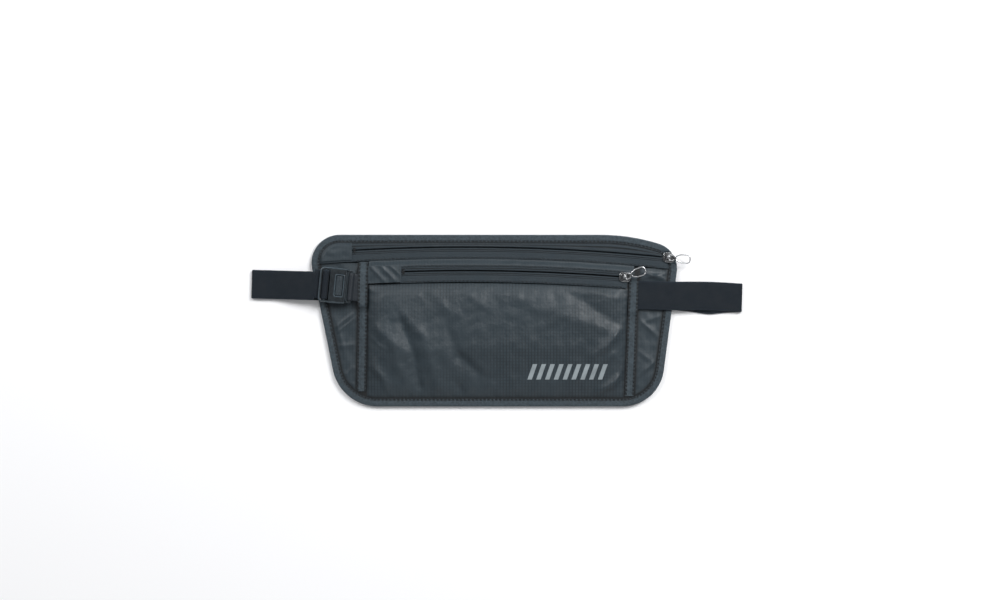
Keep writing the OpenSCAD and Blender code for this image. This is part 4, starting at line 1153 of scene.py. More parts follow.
def puller_shells(form):
    """The puller: a small eye round the link's far bar and a wire loop that widens to a round end."""
    zips = form.zips
    wire = zips.wire_d / 2
    bore = wire + 0.08 * MM
    wall, eye_l = 0.5 * MM, 1.6 * MM
    a = np.linspace(0, TURN, 24, endpoint=False)[:, None]
    section = np.array([[0, -0.5], [0.3, -0.5], [1, -0.35], [1, 0.35], [0.3, 0.5], [0, 0.5]])
    radius = bore + wall * section[:, 0]
    eye = loft(stack(zips.link_l + radius * np.cos(a), eye_l * section[:, 1] + 0 * a, radius * np.sin(a)),
               closed=True)
    near = zips.link_l + bore + wall / 2 + 0.35 * MM
    far = near + zips.puller_l
    half = zips.puller_w / 2
    side = [(near, 1.3 * MM, wire + 0.2 * MM), (near + 3.6 * MM, half - 0.35 * MM, 2.4 * MM),
            (far, half, 2.7 * MM)]
    loop = [(x, -y, bend) for x, y, bend in side] + side[::-1]
    return [eye, wire_ring(loop, wire)]


def sliders(form, finish):
    """Both sliders with their links and pullers, each on its own body."""
    zips = form.zips
    pin = zips.tape_t + zips.slider_gap + zips.plate_t + 1.25 * MM
    for name, r, x, tape_z, turn in (
            ("main", zips.main_r, form.main_park_x, zips.main_z, 0.0),
            ("front", form.front_r, form.front_park_x, zips.front_z, zips.front_turn)):
        def here(p):
            return form.on_zip(p, r, x, tape_z)

        def hung(p):
            return here(turned(p + [0, 0, pin], turn))
        body = [place(s, here) for s in slider_shells(form, turn)]
        piece(f"{name}_slider_body", body, finish, [f"{name}_slider"], f"{name}_slider")
        piece(f"{name}_link_wire", place(link_shell(form), hung), finish, [f"{name}_link"],
              f"{name}_link")
        loop = [place(s, hung) for s in puller_shells(form)]
        piece(f"{name}_puller_wire", loop, finish, [f"{name}_puller"], f"{name}_puller")


# ----------------------------------------------------------------------------------- strap
def waist_strap(form, finish):
    """The elastic: from under the right seam tape over the edge, round the right fold, behind the pouch,
    round the left fold and back along the front to where it starts to lift."""
    strap = form.strap
    t = strap.thickness
    fold = (t + 0.05 * MM) / 2
    half = form.strap_half - fold - t / 2
    front = t * 1.5 + 0.05 * MM
    start_x, edge_x = form.seam_right_x + 1.6 * MM, form.right + 1 * MM
    start_z, edge_z = form.strap_start_z + t / 2, form.binding_z + 0.1 * MM + t / 2
    x = np.linspace(start_x, half, 160)
    slope = np.interp(x, [start_x, edge_x, form.right + 27 * MM, half], [start_z, edge_z, front, front])
    kernel = np.hanning(9) / np.hanning(9).sum()
    soft = np.convolve(np.pad(slope, 4, mode="edge"), kernel, "valid")
    lead = np.stack([x, np.maximum(soft, slope)], 1)
    right = arc_points(half, t / 2 + fold, fold, 88, -90, 14)
    left = arc_points(-half, t / 2 + fold, fold, -90, -268, 14)
    end = [[-half, front], [-form.strap_half + 16 * MM, front]]

    def bow(x):
        return np.sin(np.pi * np.clip((x - form.right) / strap.out, 0, 1))

    def sag(x):
        return 1.7 + 0.5 * np.sin(TURN * x / (31 * MM))
    path = np.vstack([lead, right, left, end])
    band = strap_band(path, strap.width, t, step=0.6 * MM)
    points = band[0].copy()
    upper = smooth((points[:, 2] - t) / (0.3 * MM))
    points[:, 1] += bow(points[:, 0]) * (0.6 * upper - sag(points[:, 0]) * (1 - upper)) * MM
    band = outward((form.on_strap(points), *band[1:]))
    return piece("waist_elastic", band, finish, ["waist_strap"])


def strap_lift(form, finish):
    """The stretch of elastic that lifts from the left run up to the buckle, an even S in height."""
    strap = form.strap
    t = strap.thickness
    low, high = t * 1.5 + 0.05 * MM, form.bar_z - 1.1 * MM + t / 2
    start, end = -form.strap_half + 15.4 * MM, form.buckle_x - form.buckle.frame_l / 2 - 3.9 * MM
    u = np.linspace(0, 1, 60)
    path = np.stack([mix(start, end, u), mix(low, high, mix(u, smooth(u), 0.8))], 1)
    band = place(strap_band(path, strap.width, t), form.on_strap)
    band[0][:, 2] -= 0.04 * MM
    obj = piece("strap_lift_elastic", band, finish, ["strap_front_left"], body=None)
    here = form.on_strap(np.array([[start, 0, low], [end, 0, high]]))
    tuple(here[0])
    tuple(here[1])
    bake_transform(obj)
    return obj


def adjuster_loop(form, finish):
    """The elastic's end: under the frame's end bar, up and over the adjuster bar, and back below."""
    t, bar_z = form.strap.thickness, form.bar_z
    r = form.grip_r + t / 2
    bar_x = form.bar_x
    start = -form.buckle.frame_l / 2 - 4.1 * MM
    level = bar_z - 1.1 * MM + t / 2
    turn = 0.8 * MM
    path = np.vstack([
        [[start, level], [bar_x - r - turn, level]],
        arc_points(bar_x - r - turn, level + turn, turn, -90, -8, 8),
        arc_points(bar_x, bar_z, r, 164, -90, 40),
        [[bar_x - 3 * MM, bar_z - r], [start, bar_z - r]],
    ])
    band = place(strap_band(path, form.strap.width, t, step=0.3 * MM), form.in_buckle)
    return piece("adjuster_elastic", band, finish, ["strap_adjuster_loop"], "buckle_frame")


def anchor_webbing(form, finish):
    """Webbing loop that ties the tongue's bar to the left seam: two legs and a turn round the bar."""
    t, bar_z = form.buckle.webbing_t, form.bar_z
    r = form.grip_r + t / 2
    bar_x = form.tongue_bar_x
    end = form.seam_left_x - form.buckle_x - 0.2 * MM
    low = bar_z - r
    turn = 0.7 * MM
    path = np.vstack([
        [[end, low], [bar_x + 0.2 * MM, low]],
        arc_points(bar_x, bar_z, r, -90, -334, 40),
        [[bar_x + r + 0.55 * MM, bar_z - 0.2 * MM]],
        [[bar_x + r + turn + 0.6 * MM, low + t], [end, low + t]],
    ])
    band = place(strap_band(path, form.webbing_w, t * 0.96, step=0.3 * MM), form.in_buckle)
    return piece("anchor_webbing_loop", band, finish, ["anchor_webbing"])


# ---------------------------------------------------------------------------------- buckle
def frame_rim(x0, x1, half, z0, z1, bar_z0, w, corner=2.4 * MM):
    """The frame's two side rails and end bar as one rounded section carried along a U. The section's
    underside rises from the rails to the end bar, so that the strap passes below it."""
    a = np.linspace(0, 1, 12)
    inner = half - w / 2
    left = x0 + w / 2
    turns = [arc_points(left + corner, -inner + corner, corner, 270, 180, 12),
             arc_points(left + corner, inner - corner, corner, 180, 90, 12)]
    rail = np.stack([mix(x1, left + corner, a[:-1]), np.full(11, -inner)], 1)
    path = np.vstack([rail, turns[0], turns[1], np.stack([rail[::-1, 0], -rail[::-1, 1]], 1)])
    bulge = 0.35 * MM * np.sin(np.pi * np.clip((path[:, 0] - x0) / (x1 - x0), 0, 1))
    path[:, 1] += bulge * np.sign(path[:, 1])
    way = np.gradient(path, axis=0)
    way /= np.linalg.norm(way, axis=1)[:, None]
    side = np.stack([way[:, 1], -way[:, 0]], 1)
    low = mix(bar_z0, z0, smooth((path[:, 0] - left - 0.3 * MM) / (2 * MM)))
    b = np.linspace(0, TURN, 20, endpoint=False)
    square = np.sign(np.cos(b)) * np.abs(np.cos(b)) ** 0.7
    upright = np.sign(np.sin(b)) * np.abs(np.sin(b)) ** 0.7
    z = mix(low[:, None], z1, 0.5 + 0.5 * upright)
    off = w / 2 * square
    rings = stack(path[:, :1] + side[:, :1] * off, path[:, 1:] + side[:, 1:] * off, z)
    # Painted highlight along the outer top edge of the rails and the end bar
    rim_highlight = np.clip(1.6 - np.abs(np.degrees(b) - 125) / 32, 0, 1) * MM
    return loft(rings, around=np.append(rim_highlight, rim_highlight[0]))


def lug_window(form, gap, corner):
    """The outline of a window that clears the release lug by a gap: (x0, x1, y0, y1, corner radius)."""
    b = form.buckle
    half = b.lug_w / 2 + gap
    return form.lug_x - gap, form.lug_x + b.lug_l + gap, -half, half, corner


def buckle_frame(form, finish):
    """Female half: the U of rails and end bar, the adjuster bar, a top plate with a rimmed window and a
    bottom plate."""
    b = form.buckle
    half, plate_x, end_x = form.slot_half + form.rail_w, form.plate_x, form.end_x
    z0, z1 = form.frame_z, form.frame_z + b.frame_h
    window = lug_window(form, 0.35 * MM, 0.9 * MM)
    rim = lug_window(form, 1.1 * MM, 1.4 * MM)
    inner = half - 0.9 * MM
    strap_top = form.bar_z - 1.1 * MM + form.strap.thickness + 0.15 * MM
    shells = [
        frame_rim(-b.frame_l / 2, end_x, half, z0, z1, strap_top, form.rail_w),
        rod(form.bar_x, form.bar_z, -inner, inner, 1.08 * MM),
        window_plate((plate_x, end_x - 0.05 * MM, -inner, inner, 0.6 * MM), window, z1 - b.plate_t,
                     z1 - 0.05 * MM, 0.25 * MM),
        window_plate(rim, window, z1 - 0.4 * MM, z1 + 0.18 * MM, 0.16 * MM, top_highlight=1.0),
        slab(plate_x, end_x - 0.05 * MM, -inner, inner, 0.6 * MM, z0 + 0.05 * MM, z0 + b.plate_t,
             0.2 * MM),
    ]
    shells = [place(s, form.in_buckle) for s in shells]
    return piece("buckle_frame_shell", shells, finish, ["buckle_frame"], "buckle_frame")


def buckle_tongue(form, finish):
    """Male half: a plate with a hole for the lug, a shoulder, two arms and the webbing's bar."""
    b = form.buckle
    z0 = form.frame_z + b.plate_t + 0.1 * MM
    z1 = form.frame_z + b.frame_h - b.plate_t - 0.1 * MM
    shoulder, bar_x = form.shoulder_x, form.tongue_bar_x
    over = form.webbing_w / 2 + 2.0 * MM
    tongue = form.slot_half - 0.7 * MM
    shells = [
        window_plate((form.plate_x + 0.6 * MM, shoulder + 0.2 * MM, -tongue, tongue, 1.2 * MM),
                     lug_window(form, 0.2 * MM, 0.5 * MM), z0, z1, 0.2 * MM),
        slab(shoulder, shoulder + form.shoulder_l, -over, over, 0.4 * MM, z0, z1, 0.3 * MM),
        rod(bar_x, form.bar_z, -over + 0.1 * MM, over - 0.1 * MM, 0.98 * MM),
    ]
    for sign in (-1, 1):
        y0, y1 = sorted((sign * over, sign * (over - 1.8 * MM)))
        shells.append(slab(shoulder, bar_x + 1.1 * MM, y0, y1, 0.8 * MM, z0, z1, 0.3 * MM))
    return piece("buckle_tongue_shell", [place(s, form.in_buckle) for s in shells], finish,
                 ["buckle_tongue"])


def release_lug(form, finish):
    """Press lug: a ribbed pad whose top slopes, so that the frame passes over it as it goes down."""
    b = form.buckle
    lug_x = form.lug_x
    top = form.frame_z + b.frame_h - b.plate_t - 0.06 * MM
    u, v = np.meshgrid(np.linspace(-1, 1, 60), np.linspace(-1, 1, 60))
    x = lug_x + b.lug_l * (0.5 + 0.5 * u)
    y = b.lug_w / 2 * v
    round_off = 0.3 * MM * (np.abs(u) ** 10 + np.abs(v) ** 24)
    ribs = 0.14 * MM * (0.5 - 0.5 * np.cos(TURN * (x - lug_x) / (b.lug_l / 4))) * (1 - np.abs(v) ** 16)
    z = top + 0.08 * (lug_x + b.lug_l - x) - np.clip(round_off, 0, 0.3 * MM) - ribs * (np.abs(u) < 0.9)
    base = stack(x, y, top - 1.1 * MM + 0 * x)
    pad = place(shell(stack(x, y, z), base), form.in_buckle)
    # The whole pad is made a little lighter, mottled by the scuffs
    pad[3][..., 0] = 0.4 * MM
    return piece("release_lug_pad", pad, finish, ["release_lug"], "release_lug")


# -------------------------------------------------------------------------------- finishes
class Finish:
    """A material written as a short list of steps on its node tree."""

    def __init__(self, name, roughness=0.5, metallic=0.0, sheen=0.0, coat=0.0, specular=0.5):
        old = bpy.data.materials.get(name)
        if old:
            bpy.data.materials.remove(old)
        self.material = bpy.data.materials.new(name)
        self.material.use_nodes = True
        self.tree = self.material.node_tree
        self.shader = self.tree.nodes["Principled BSDF"]
        values = {"Roughness": roughness, "Metallic": metallic, "Specular IOR Level": specular,
                  "Sheen Weight": sheen, "Sheen Roughness": 0.35,
                  "Coat Weight": coat, "Coat Roughness": 0.2}
        for key, value in values.items():
            self.shader.inputs[key].default_value = value

    def node(self, kind, inputs=(), **settings):
        """A new node with its settings, and its inputs linked or set in order."""
        made = self.tree.nodes.new(kind)
        for key, value in settings.items():
            setattr(made, key, value)
        for key, value in dict(inputs).items():
            self.put(made.inputs[key], value)
        return made

    def put(self, socket, value):
        """Links a socket to another, or gives it a value."""
        if isinstance(value, bpy.types.NodeSocket):
            self.tree.links.new(value, socket)
        else:
            socket.default_value = value

    def math(self, operation, a, b=0.0, c=0.0):
        """A number from up to three numbers."""
        return self.node("ShaderNodeMath", {0: a, 1: b, 2: c}, operation=operation).outputs[0]

    def times(self, a, b):
        """One number times another."""
        return self.math("MULTIPLY", a, b)

    def plus(self, a, b):
        """The sum of two numbers."""
        return self.math("ADD", a, b)

    def apart(self, a, b):
        """How far two numbers are apart."""
        return self.math("ABSOLUTE", self.math("SUBTRACT", a, b))

    def place(self, on_pattern=False, turn=0.0, scale=1000.0):
        """The place on the piece in millimetres: its own coordinates, or those of its pattern."""
        source = self.node("ShaderNodeTexCoord").outputs["Object"]
        if on_pattern:
            source = self.node("ShaderNodeUVMap", uv_map="pattern").outputs[0]
        mapping = self.node("ShaderNodeMapping", {"Vector": source, "Rotation": (0, 0, turn),
                                                  "Scale": (scale, scale, scale)})
        return mapping.outputs[0]

    def axes(self, vector):
        """The separate coordinates of a place."""
        return self.node("ShaderNodeSeparateXYZ", {0: vector}).outputs

    def noise(self, vector, scale, detail=3.0, rough=0.55):
        """A soft random field from 0 to 1."""
        return self.node("ShaderNodeTexNoise", {"Vector": vector, "Scale": scale, "Detail": detail,
                                                "Roughness": rough}).outputs[0]

    def crease_shade(self):
        """How much painted shade a spot gets in the groove beside a seam: 0 on open cloth, 1 deep in the
        groove.
        """
        return self.node("ShaderNodeAttribute", attribute_name="crease_shade").outputs["Fac"]

    def wave(self, value, pitch, power=1.0):
        """A smooth wave from 0 to 1 with a pitch."""
        phase = self.times(value, TURN / pitch)
        up = self.math("MULTIPLY_ADD", self.math("SINE", phase), 0.5, 0.5)
        return self.math("POWER", up, power) if power != 1.0 else up

    def lines(self, value, pitch, width):
        """Thin lines at a pitch: 1 on the line, 0 between."""
        share = self.math("FRACT", self.math("DIVIDE", value, pitch))
        off = self.apart(share, 0.5)
        edge = 0.5 - width / pitch
        inputs = {0: off, 1: edge, 2: edge + 0.6 * width / pitch, 3: 0.0, 4: 1.0}
        return self.node("ShaderNodeMapRange", inputs, interpolation_type="SMOOTHSTEP").outputs[0]

    def band(self, value, centre, half):
        """1 where a value is at a centre, falling to 0 a little more than half a width away."""
        off = self.apart(value, centre)
        return self.remap(off, 0.6 * half, 1.3 * half, 1.0, 0.0)

    def remap(self, value, low, high, new_low, new_high):
        """A value carried from one range to another, and held inside it."""
        inputs = {0: value, 1: low, 2: high, 3: new_low, 4: new_high}
        return self.node("ShaderNodeMapRange", inputs).outputs[0]

    def blend(self, share, a, b):
        """The colour a share of the way from a to b."""
        made = self.node("ShaderNodeMix", data_type="RGBA")
        for socket, value in ((0, share), (6, a), (7, b)):
            self.put(made.inputs[socket], value)
        return made.outputs[2]

    def paint(self, tint, roughness=None, height=None, depth=0.0001, strength=1.0):
        """Sets the colour, and the roughness and the relief if they vary."""
        self.put(self.shader.inputs["Base Color"], tint)
        if roughness is not None:
            self.put(self.shader.inputs["Roughness"], roughness)
        if height is not None:
            bump = self.node("ShaderNodeBump", {"Height": height, "Distance": depth, "Strength": strength})
            self.put(self.shader.inputs["Normal"], bump.outputs[0])
        return self.material


def shade(rgb, factor):
    """A colour made lighter or darker, with full alpha."""
    return (*(min(1.0, c * factor) for c in rgb), 1.0)


def ripstop_finish(colours, with_print):
    """Ripstop nylon: a fine plain weave crossed by thicker threads in squares, crinkled and satin, with
    painted shade in the grooves beside its seams. The front face also carries a printed row of slanted
    bars."""
    f = Finish("ripstop_cloth" if with_print else "ripstop_side", sheen=0.05, specular=0.42)
    spot = f.place()
    x, y, _ = f.axes(spot)
    pitch = colours.ripstop_pitch / MM
    down, cross = f.lines(x, pitch, 0.5), f.lines(y, pitch, 0.42)
    grid = f.math("MAXIMUM", down, f.times(cross, 0.55))
    weave = f.times(f.wave(x, 0.36), f.wave(y, 0.36))
    crinkle = f.noise(spot, 0.14, 3.5, 0.5)
    patch = f.noise(spot, 0.035, 2.0)
    tone = f.math("MULTIPLY_ADD", patch, 0.45, 0.02)
    base = f.blend(tone, shade(colours.cloth, 0.9), shade(colours.cloth, 1.3))
    shown = f.remap(f.noise(spot, 0.02, 2.0), 0.38, 0.62, 0.12, 0.6 if with_print else 0.3)
    base = f.blend(f.times(grid, shown), base, shade(colours.cloth, 0.22))
    base = f.blend(f.times(weave, 0.12), base, shade(colours.cloth, 0.5))
    height = f.plus(f.times(grid, 0.25), f.times(weave, 0.2))
    height = f.plus(height, f.times(crinkle, 1.7))
    # Painted shade: the cloth darkens in the groove beside each seam
    base = f.blend(f.crease_shade(), base, shade(colours.cloth, 0.12))
    rough = f.remap(crinkle, 0.3, 0.7, 0.42, 0.58)
    if with_print:
        bars = print_mask(f, x, y, colours.print_bars)
        ink = f.times(bars, f.remap(weave, 0, 1, 0.96, 0.8))
        base = f.blend(ink, base, shade(colours.printed, 1))
        rough = f.math("MULTIPLY_ADD", bars, 0.12, rough)
    return f.paint(base, rough, height, depth=0.16 * MM, strength=0.8)


# The printed row's left end, right end, foot and head, in millimetres, and how far its bars lean
PRINT_BOX = (21.5, 82.0, -45.0, -33.0)
PRINT_LEAN = 0.35


def print_mask(f, x, y, bars):
    """A row of slanted bars, all of one height, between two ends: 1 on a bar."""
    left, right, low, high = PRINT_BOX
    pitch = (right - left) / bars
    leaned = f.math("SUBTRACT", x, f.times(y, PRINT_LEAN))
    start = left - PRINT_LEAN * low
    share = f.math("FRACT", f.math("DIVIDE", f.math("SUBTRACT", leaned, start), pitch))
    on_bar = f.remap(f.apart(share, 0.5), 0.235, 0.265, 1.0, 0.0)
    ends = f.times(f.remap(leaned, start, start + 0.1, 0, 1),
                  f.remap(leaned, start + right - left - 0.1, start + right - left, 1, 0))
    tall = f.times(f.remap(y, low, low + 0.2, 0, 1), f.remap(y, high - 0.2, high, 1, 0))
    return f.times(on_bar, f.times(ends, tall))


def lining_finish(colours):
    """Plain dull taffeta for the inner wall."""
    f = Finish("lining_cloth", roughness=0.7, sheen=0.1)
    spot = f.place()
    x, y, _ = f.axes(spot)
    weave = f.times(f.wave(x, 0.4), f.wave(y, 0.4))
    base = f.blend(f.noise(spot, 0.05, 2.0), shade(colours.lining, 0.8), shade(colours.lining, 1.25))
    return f.paint(base, f.remap(weave, 0, 1, 0.62, 0.78), weave, depth=0.05 * MM)


def tape_finish(form, colours):
    """Woven binding tape: fine ribs across it, a herringbone of threads and a painted highlight along its
    outer fold. Painted shade darkens it along its edges and in the hollows that its stitches pull down."""
    f = Finish("binding_tape", sheen=0.1, specular=0.35)
    edge_at, seam_half = form.cloth.binding_w / MM, form.cloth.seam_tape_w / 2 / MM
    stitch_at, seam_stitch_at = edge_at - STITCH_IN / MM, SEAM_STITCHES * seam_half
    along, across, _ = f.axes(f.place(on_pattern=True))
    slant = f.plus(along, f.math("PINGPONG", across, 1.1))
    rib = f.wave(slant, 0.62, 1.4)
    thread = f.wave(across, 0.5)
    cloud = f.noise(f.place(), 0.09, 4.0)
    # Painted highlight along the outer fold of the binding, mottled by the cloud
    fold = f.remap(across, 0.0, 1.3, 0.55, 0.0)
    fleck = f.remap(f.noise(f.place(), 0.55, 4.0, 0.7), 0.4, 0.65, 0.0, 0.8)
    base = f.blend(rib, shade(colours.tape, 0.6), shade(colours.tape, 1.2))
    base = f.blend(f.times(cloud, 0.4), base, shade(colours.tape, 1.5))
    base = f.blend(fleck, base, shade(colours.tape, 1.7))
    base = f.blend(f.times(fold, cloud), base, shade(colours.tape, 1.9))
    seam = f.apart(across, SEAM_MARK / MM)
    # Painted shade in the hollows under the stitches, a dot for each stitch
    sewn = f.math("MAXIMUM", f.band(across, stitch_at, 0.6), f.band(seam, seam_stitch_at, 0.6))
    dimples = f.remap(f.wave(along, form.cloth.stitch_pitch / MM), 0.25, 0.7, 0.25, 1.0)
    sewn = f.times(sewn, dimples)
    # Painted shade along the tapes' inner edges, in the gap where they meet the cloth
    edge = f.math("MAXIMUM", f.band(across, edge_at, 0.5), f.band(seam, seam_half, 0.5))
    base = f.blend(f.times(sewn, 0.85), base, shade(colours.tape, 0.08))
    base = f.blend(f.times(edge, 0.8), base, shade(colours.tape, 0.1))
    height = f.plus(rib, f.math("MULTIPLY_ADD", sewn, -4.0, f.times(thread, 0.4)))
    return f.paint(base, f.remap(cloud, 0.3, 0.7, 0.55, 0.72), height, depth=0.08 * MM)


def zip_tape_finish(colours):
    """Knitted zip tape: columns of small loops."""
    f = Finish("zip_tape", sheen=0.15, specular=0.35)
    x, y, _ = f.axes(f.place())
    column = f.wave(y, 1.15, 0.7)
    loop = f.wave(f.plus(x, f.math("PINGPONG", y, 0.58)), 0.6, 1.3)
    cloud = f.noise(f.place(), 0.08, 3.0)
    knit = f.times(column, loop)
    base = f.blend(knit, shade(colours.zip_tape, 0.75), shade(colours.zip_tape, 1.5))
    base = f.blend(f.times(cloud, 0.35), base, shade(colours.zip_tape, 1.7))
    off = f.math("ABSOLUTE", f.axes(f.place(on_pattern=True))[0])
    # Painted shade in two sewn lines near the parted edge, pressed in as hollows
    sewn = f.math("MAXIMUM", f.band(off, 1.35, 0.3), f.times(f.band(off, 2.6, 0.25), 0.8))
    base = f.blend(f.times(sewn, 0.8), base, shade(colours.zip_tape, 0.15))
    height = f.plus(f.times(column, 0.7), f.math("MULTIPLY_ADD", sewn, -3.0, loop))
    return f.paint(base, f.remap(cloud, 0.3, 0.7, 0.62, 0.8), height, depth=0.09 * MM)


def elastic_finish(form, colours):
    """Woven elastic: raised ribs across the band, split by fine warp threads, with firm plain edges."""
    f = Finish("strap_elastic", sheen=0.1, specular=0.25)
    along, across, _ = f.axes(f.place(on_pattern=True))
    rib = f.wave(f.plus(along, f.math("PINGPONG", across, 0.45)), 0.85, 1.2)
    warp = f.wave(across, 0.9, 0.8)
    half = form.strap.width / 2 / MM
    edge = f.remap(f.math("ABSOLUTE", across), half - 1.4, half - 0.8, 0.0, 1.0)
    cloud = f.noise(f.place(), 0.11, 4.0)
    base = f.blend(f.times(rib, warp), shade(colours.elastic, 0.7), shade(colours.elastic, 1.6))
    base = f.blend(f.times(edge, 0.5), base, shade(colours.elastic, 1.9))
    base = f.blend(f.times(cloud, 0.3), base, shade(colours.elastic, 2.0))
    height = f.plus(rib, f.times(warp, 0.6))
    return f.paint(base, f.remap(cloud, 0.3, 0.7, 0.68, 0.85), height, depth=0.12 * MM)


def webbing_finish(colours):
    """Flat webbing: a basket weave of broad threads."""
    f = Finish("strap_webbing", sheen=0.15, specular=0.4)
    along, across, _ = f.axes(f.place(on_pattern=True))
    pitch, gauge = 1.5, 1.3
    over = f.times(f.wave(along, pitch), f.wave(across, gauge))
    along, across = f.plus(along, pitch / 2), f.plus(across, gauge / 2)
    under = f.times(f.wave(along, pitch), f.wave(across, gauge))
    basket = f.math("MAXIMUM", over, under)
    base = f.blend(basket, shade(colours.elastic, 0.7), shade(colours.elastic, 1.7))
    cloud = f.noise(f.place(), 0.1, 3.0)
    return f.paint(base, f.remap(cloud, 0.3, 0.7, 0.5, 0.7), basket, depth=0.14 * MM)


def thread_finish(colours):
    """Twisted sewing thread."""
    f = Finish("sewing_thread", sheen=0.2, specular=0.5)
    along, around, _ = f.axes(f.place(on_pattern=True))
    twist = f.wave(f.plus(along, f.times(around, 0.8)), 0.42)
    base = f.blend(twist, shade(colours.thread, 0.7), shade(colours.thread, 1.8))
    return f.paint(base, f.remap(twist, 0, 1, 0.5, 0.65), twist, depth=0.04 * MM)


def coil_finish(colours):
    """Nylon coil: dark, a little glossy, scuffed by the slider."""
    f = Finish("zip_coil", specular=0.5)
    cloud = f.noise(f.place(), 0.8, 3.0)
    base = f.blend(cloud, shade(colours.zip_tape, 0.5), shade(colours.zip_tape, 1.2))
    return f.paint(base, f.remap(cloud, 0.3, 0.7, 0.28, 0.45), cloud, depth=0.02 * MM)


def plastic_finish(colours):
    """Moulded satin plastic: a fine grain and soft scuffs."""
    f = Finish("buckle_plastic", specular=0.5, coat=0.2)
    spot = f.place()
    grain = f.noise(spot, 3.2, 2.0)
    scuff = f.noise(spot, 0.45, 5.0, 0.7)
    scuffed = f.remap(scuff, 0.45, 0.75, 0.0, 0.8)
    base = f.blend(scuffed, shade(colours.plastic, 0.8), shade(colours.plastic, 2.2))
    across, around, _ = f.axes(f.place(on_pattern=True))
    # Painted highlight on the rims, mottled by the scuffs
    rim_highlight = f.times(f.math("MAXIMUM", across, around), f.remap(scuff, 0.35, 0.6, 0.55, 1.0))
    base = f.blend(rim_highlight, base, shade(colours.plastic, 5.5))
    rough = f.math("MULTIPLY_ADD", scuff, 0.25, 0.22)
    return f.paint(base, rough, grain, depth=0.025 * MM)


def metal_finish(colours):
    """Nickel plate: bright, with faint tumbling marks, a painted reflection that darkens its flat faces
    and a painted highlight on its rounded rims.
    """
    f = Finish("zip_metal", metallic=1.0)
    spot = f.place()
    marks = f.noise(spot, 1.7, 4.0, 0.65)
    cloud = f.noise(spot, 0.5, 2.0)
    bright = f.blend(cloud, shade(colours.metal, 0.9), shade(colours.metal, 1.45))
    # Painted reflection and highlight: flat faces darker, rounded rims bright
    rim_highlight = f.remap(f.axes(f.place(on_pattern=True))[0], 0.0, 0.8, 0.0, 1.0)
    base = f.blend(rim_highlight, shade(colours.metal, 0.35), bright)
    return f.paint(base, f.remap(marks, 0.35, 0.7, 0.14, 0.34), marks, depth=0.02 * MM)


def floor_finish(colours):
    """Matt white paper."""
    f = Finish("floor_paper", roughness=0.9, specular=0.2)
    cloud = f.noise(f.place(), 0.004, 2.0)
    base = f.blend(cloud, shade(colours.floor, 0.99), shade(colours.floor, 1.01))
    return f.paint(base, None, f.noise(f.place(), 0.6, 4.0), depth=0.02 * MM)


# ----------------------------------------------------------------------------------- stage
# The soft lamps: name, place, side of the lit square, power
LAMPS = (
    ("key", (0.85, 0.85, 1.1), 0.8, 26.0),
    ("fill", (-1.05, 0.95, 1.1), 0.8, 15.0),
    ("front", (0.3, -1.4, 1.1), 1.4, 6.0),
)
# The camera's place over the belt, and the width of floor that it takes in
CAMERA_AT = (-1.5 * MM, 15.8 * MM, 1.6)
VIEW_WIDTH = 0.7593


def on_stage(name, data):
    """A new object in the scene that is not part of the belt."""
    obj = bpy.data.objects.new(name, data)
    bpy.context.scene.collection.objects.link(obj)
    return obj


def floor_sheet(colours):
    """A wide thin sheet just under the belt."""
    reach, gap, thick = 6.0, 0.1 * MM, 20 * MM
    u = np.linspace(-reach, reach, 13)
    x, y = np.meshgrid(u, u)
    top = stack(x, y, -gap + 0 * x)
    mesh = mesh_of("floor", [shell(top, top - [0, 0, thick])])
    mesh.materials.append(floor_finish(colours))
    on_stage("floor", mesh)


def soft_lamp(name, at, size, power):
    """A square lamp that faces the middle of the belt."""
    light = bpy.data.lights.new(name, "AREA")
    light.size = size
    light.energy = power
    lamp = on_stage(name, light)
    lamp.location = at
    lamp.rotation_euler = (-lamp.location).to_track_quat("-Z", "Y").to_euler()


def studio_world():
    """An even dim light from all round, and plain colours."""
    world = bpy.data.worlds.new("studio")
    world.use_nodes = True
    background = world.node_tree.nodes["Background"]
    background.inputs["Color"].default_value = (0.95, 0.97, 1.0, 1)
    background.inputs["Strength"].default_value = 0.24
    bpy.context.scene.world = world
    bpy.context.scene.view_settings.view_transform = "Standard"


def camera_above():
    """The camera, straight above the belt and looking down."""
    camera = on_stage("camera", bpy.data.cameras.new("camera"))
    camera.data.sensor_width = 36.0
    camera.data.lens = camera.data.sensor_width * CAMERA_AT[2] / VIEW_WIDTH
    camera.location = CAMERA_AT
    bpy.context.scene.camera = camera


# ------------------------------------------------------------------------------- operators
class BeltOperator:
    """What the operators share: the form and the colours, from the scene's settings."""

    bl_options = {"REGISTER", "UNDO"}

    def execute(self, context):
        """Makes the operator's pieces, and stops with an error if one can't be made."""
        self.make(Form(context.scene), context.scene.belt_finish)
        return {"FINISHED"}


class BELT_OT_stage(BeltOperator, Operator):
    """Floor, soft lights and the camera"""

    bl_idname = "belt.stage"
    bl_label = "Stage"

    def make(self, form, colours):
        floor_sheet(colours)
        for name, at, size, power in LAMPS:
            soft_lamp(name, at, size, power)
        studio_world()
        camera_above()


class BELT_OT_panels(BeltOperator, Operator):
    """Cloth panels of the pouch"""

    bl_idname = "belt.panels"
    bl_label = "Cloth Panels"

    def make(self, form, colours):
        side = ripstop_finish(colours, False)
        front_face(form, ripstop_finish(colours, True))
        inner_panel(form, lining_finish(colours))
        back_panel(form, side)
        side_panel(form, side, -1, "side_cloth_left", "side_panel_left", LEFT_FOLDS)
        side_panel(form, side, 1, "side_cloth_right", "side_panel_right", RIGHT_FOLDS)
        zip_strip(form, side)
        end_patch(form, side)
        end_tab(form, side)


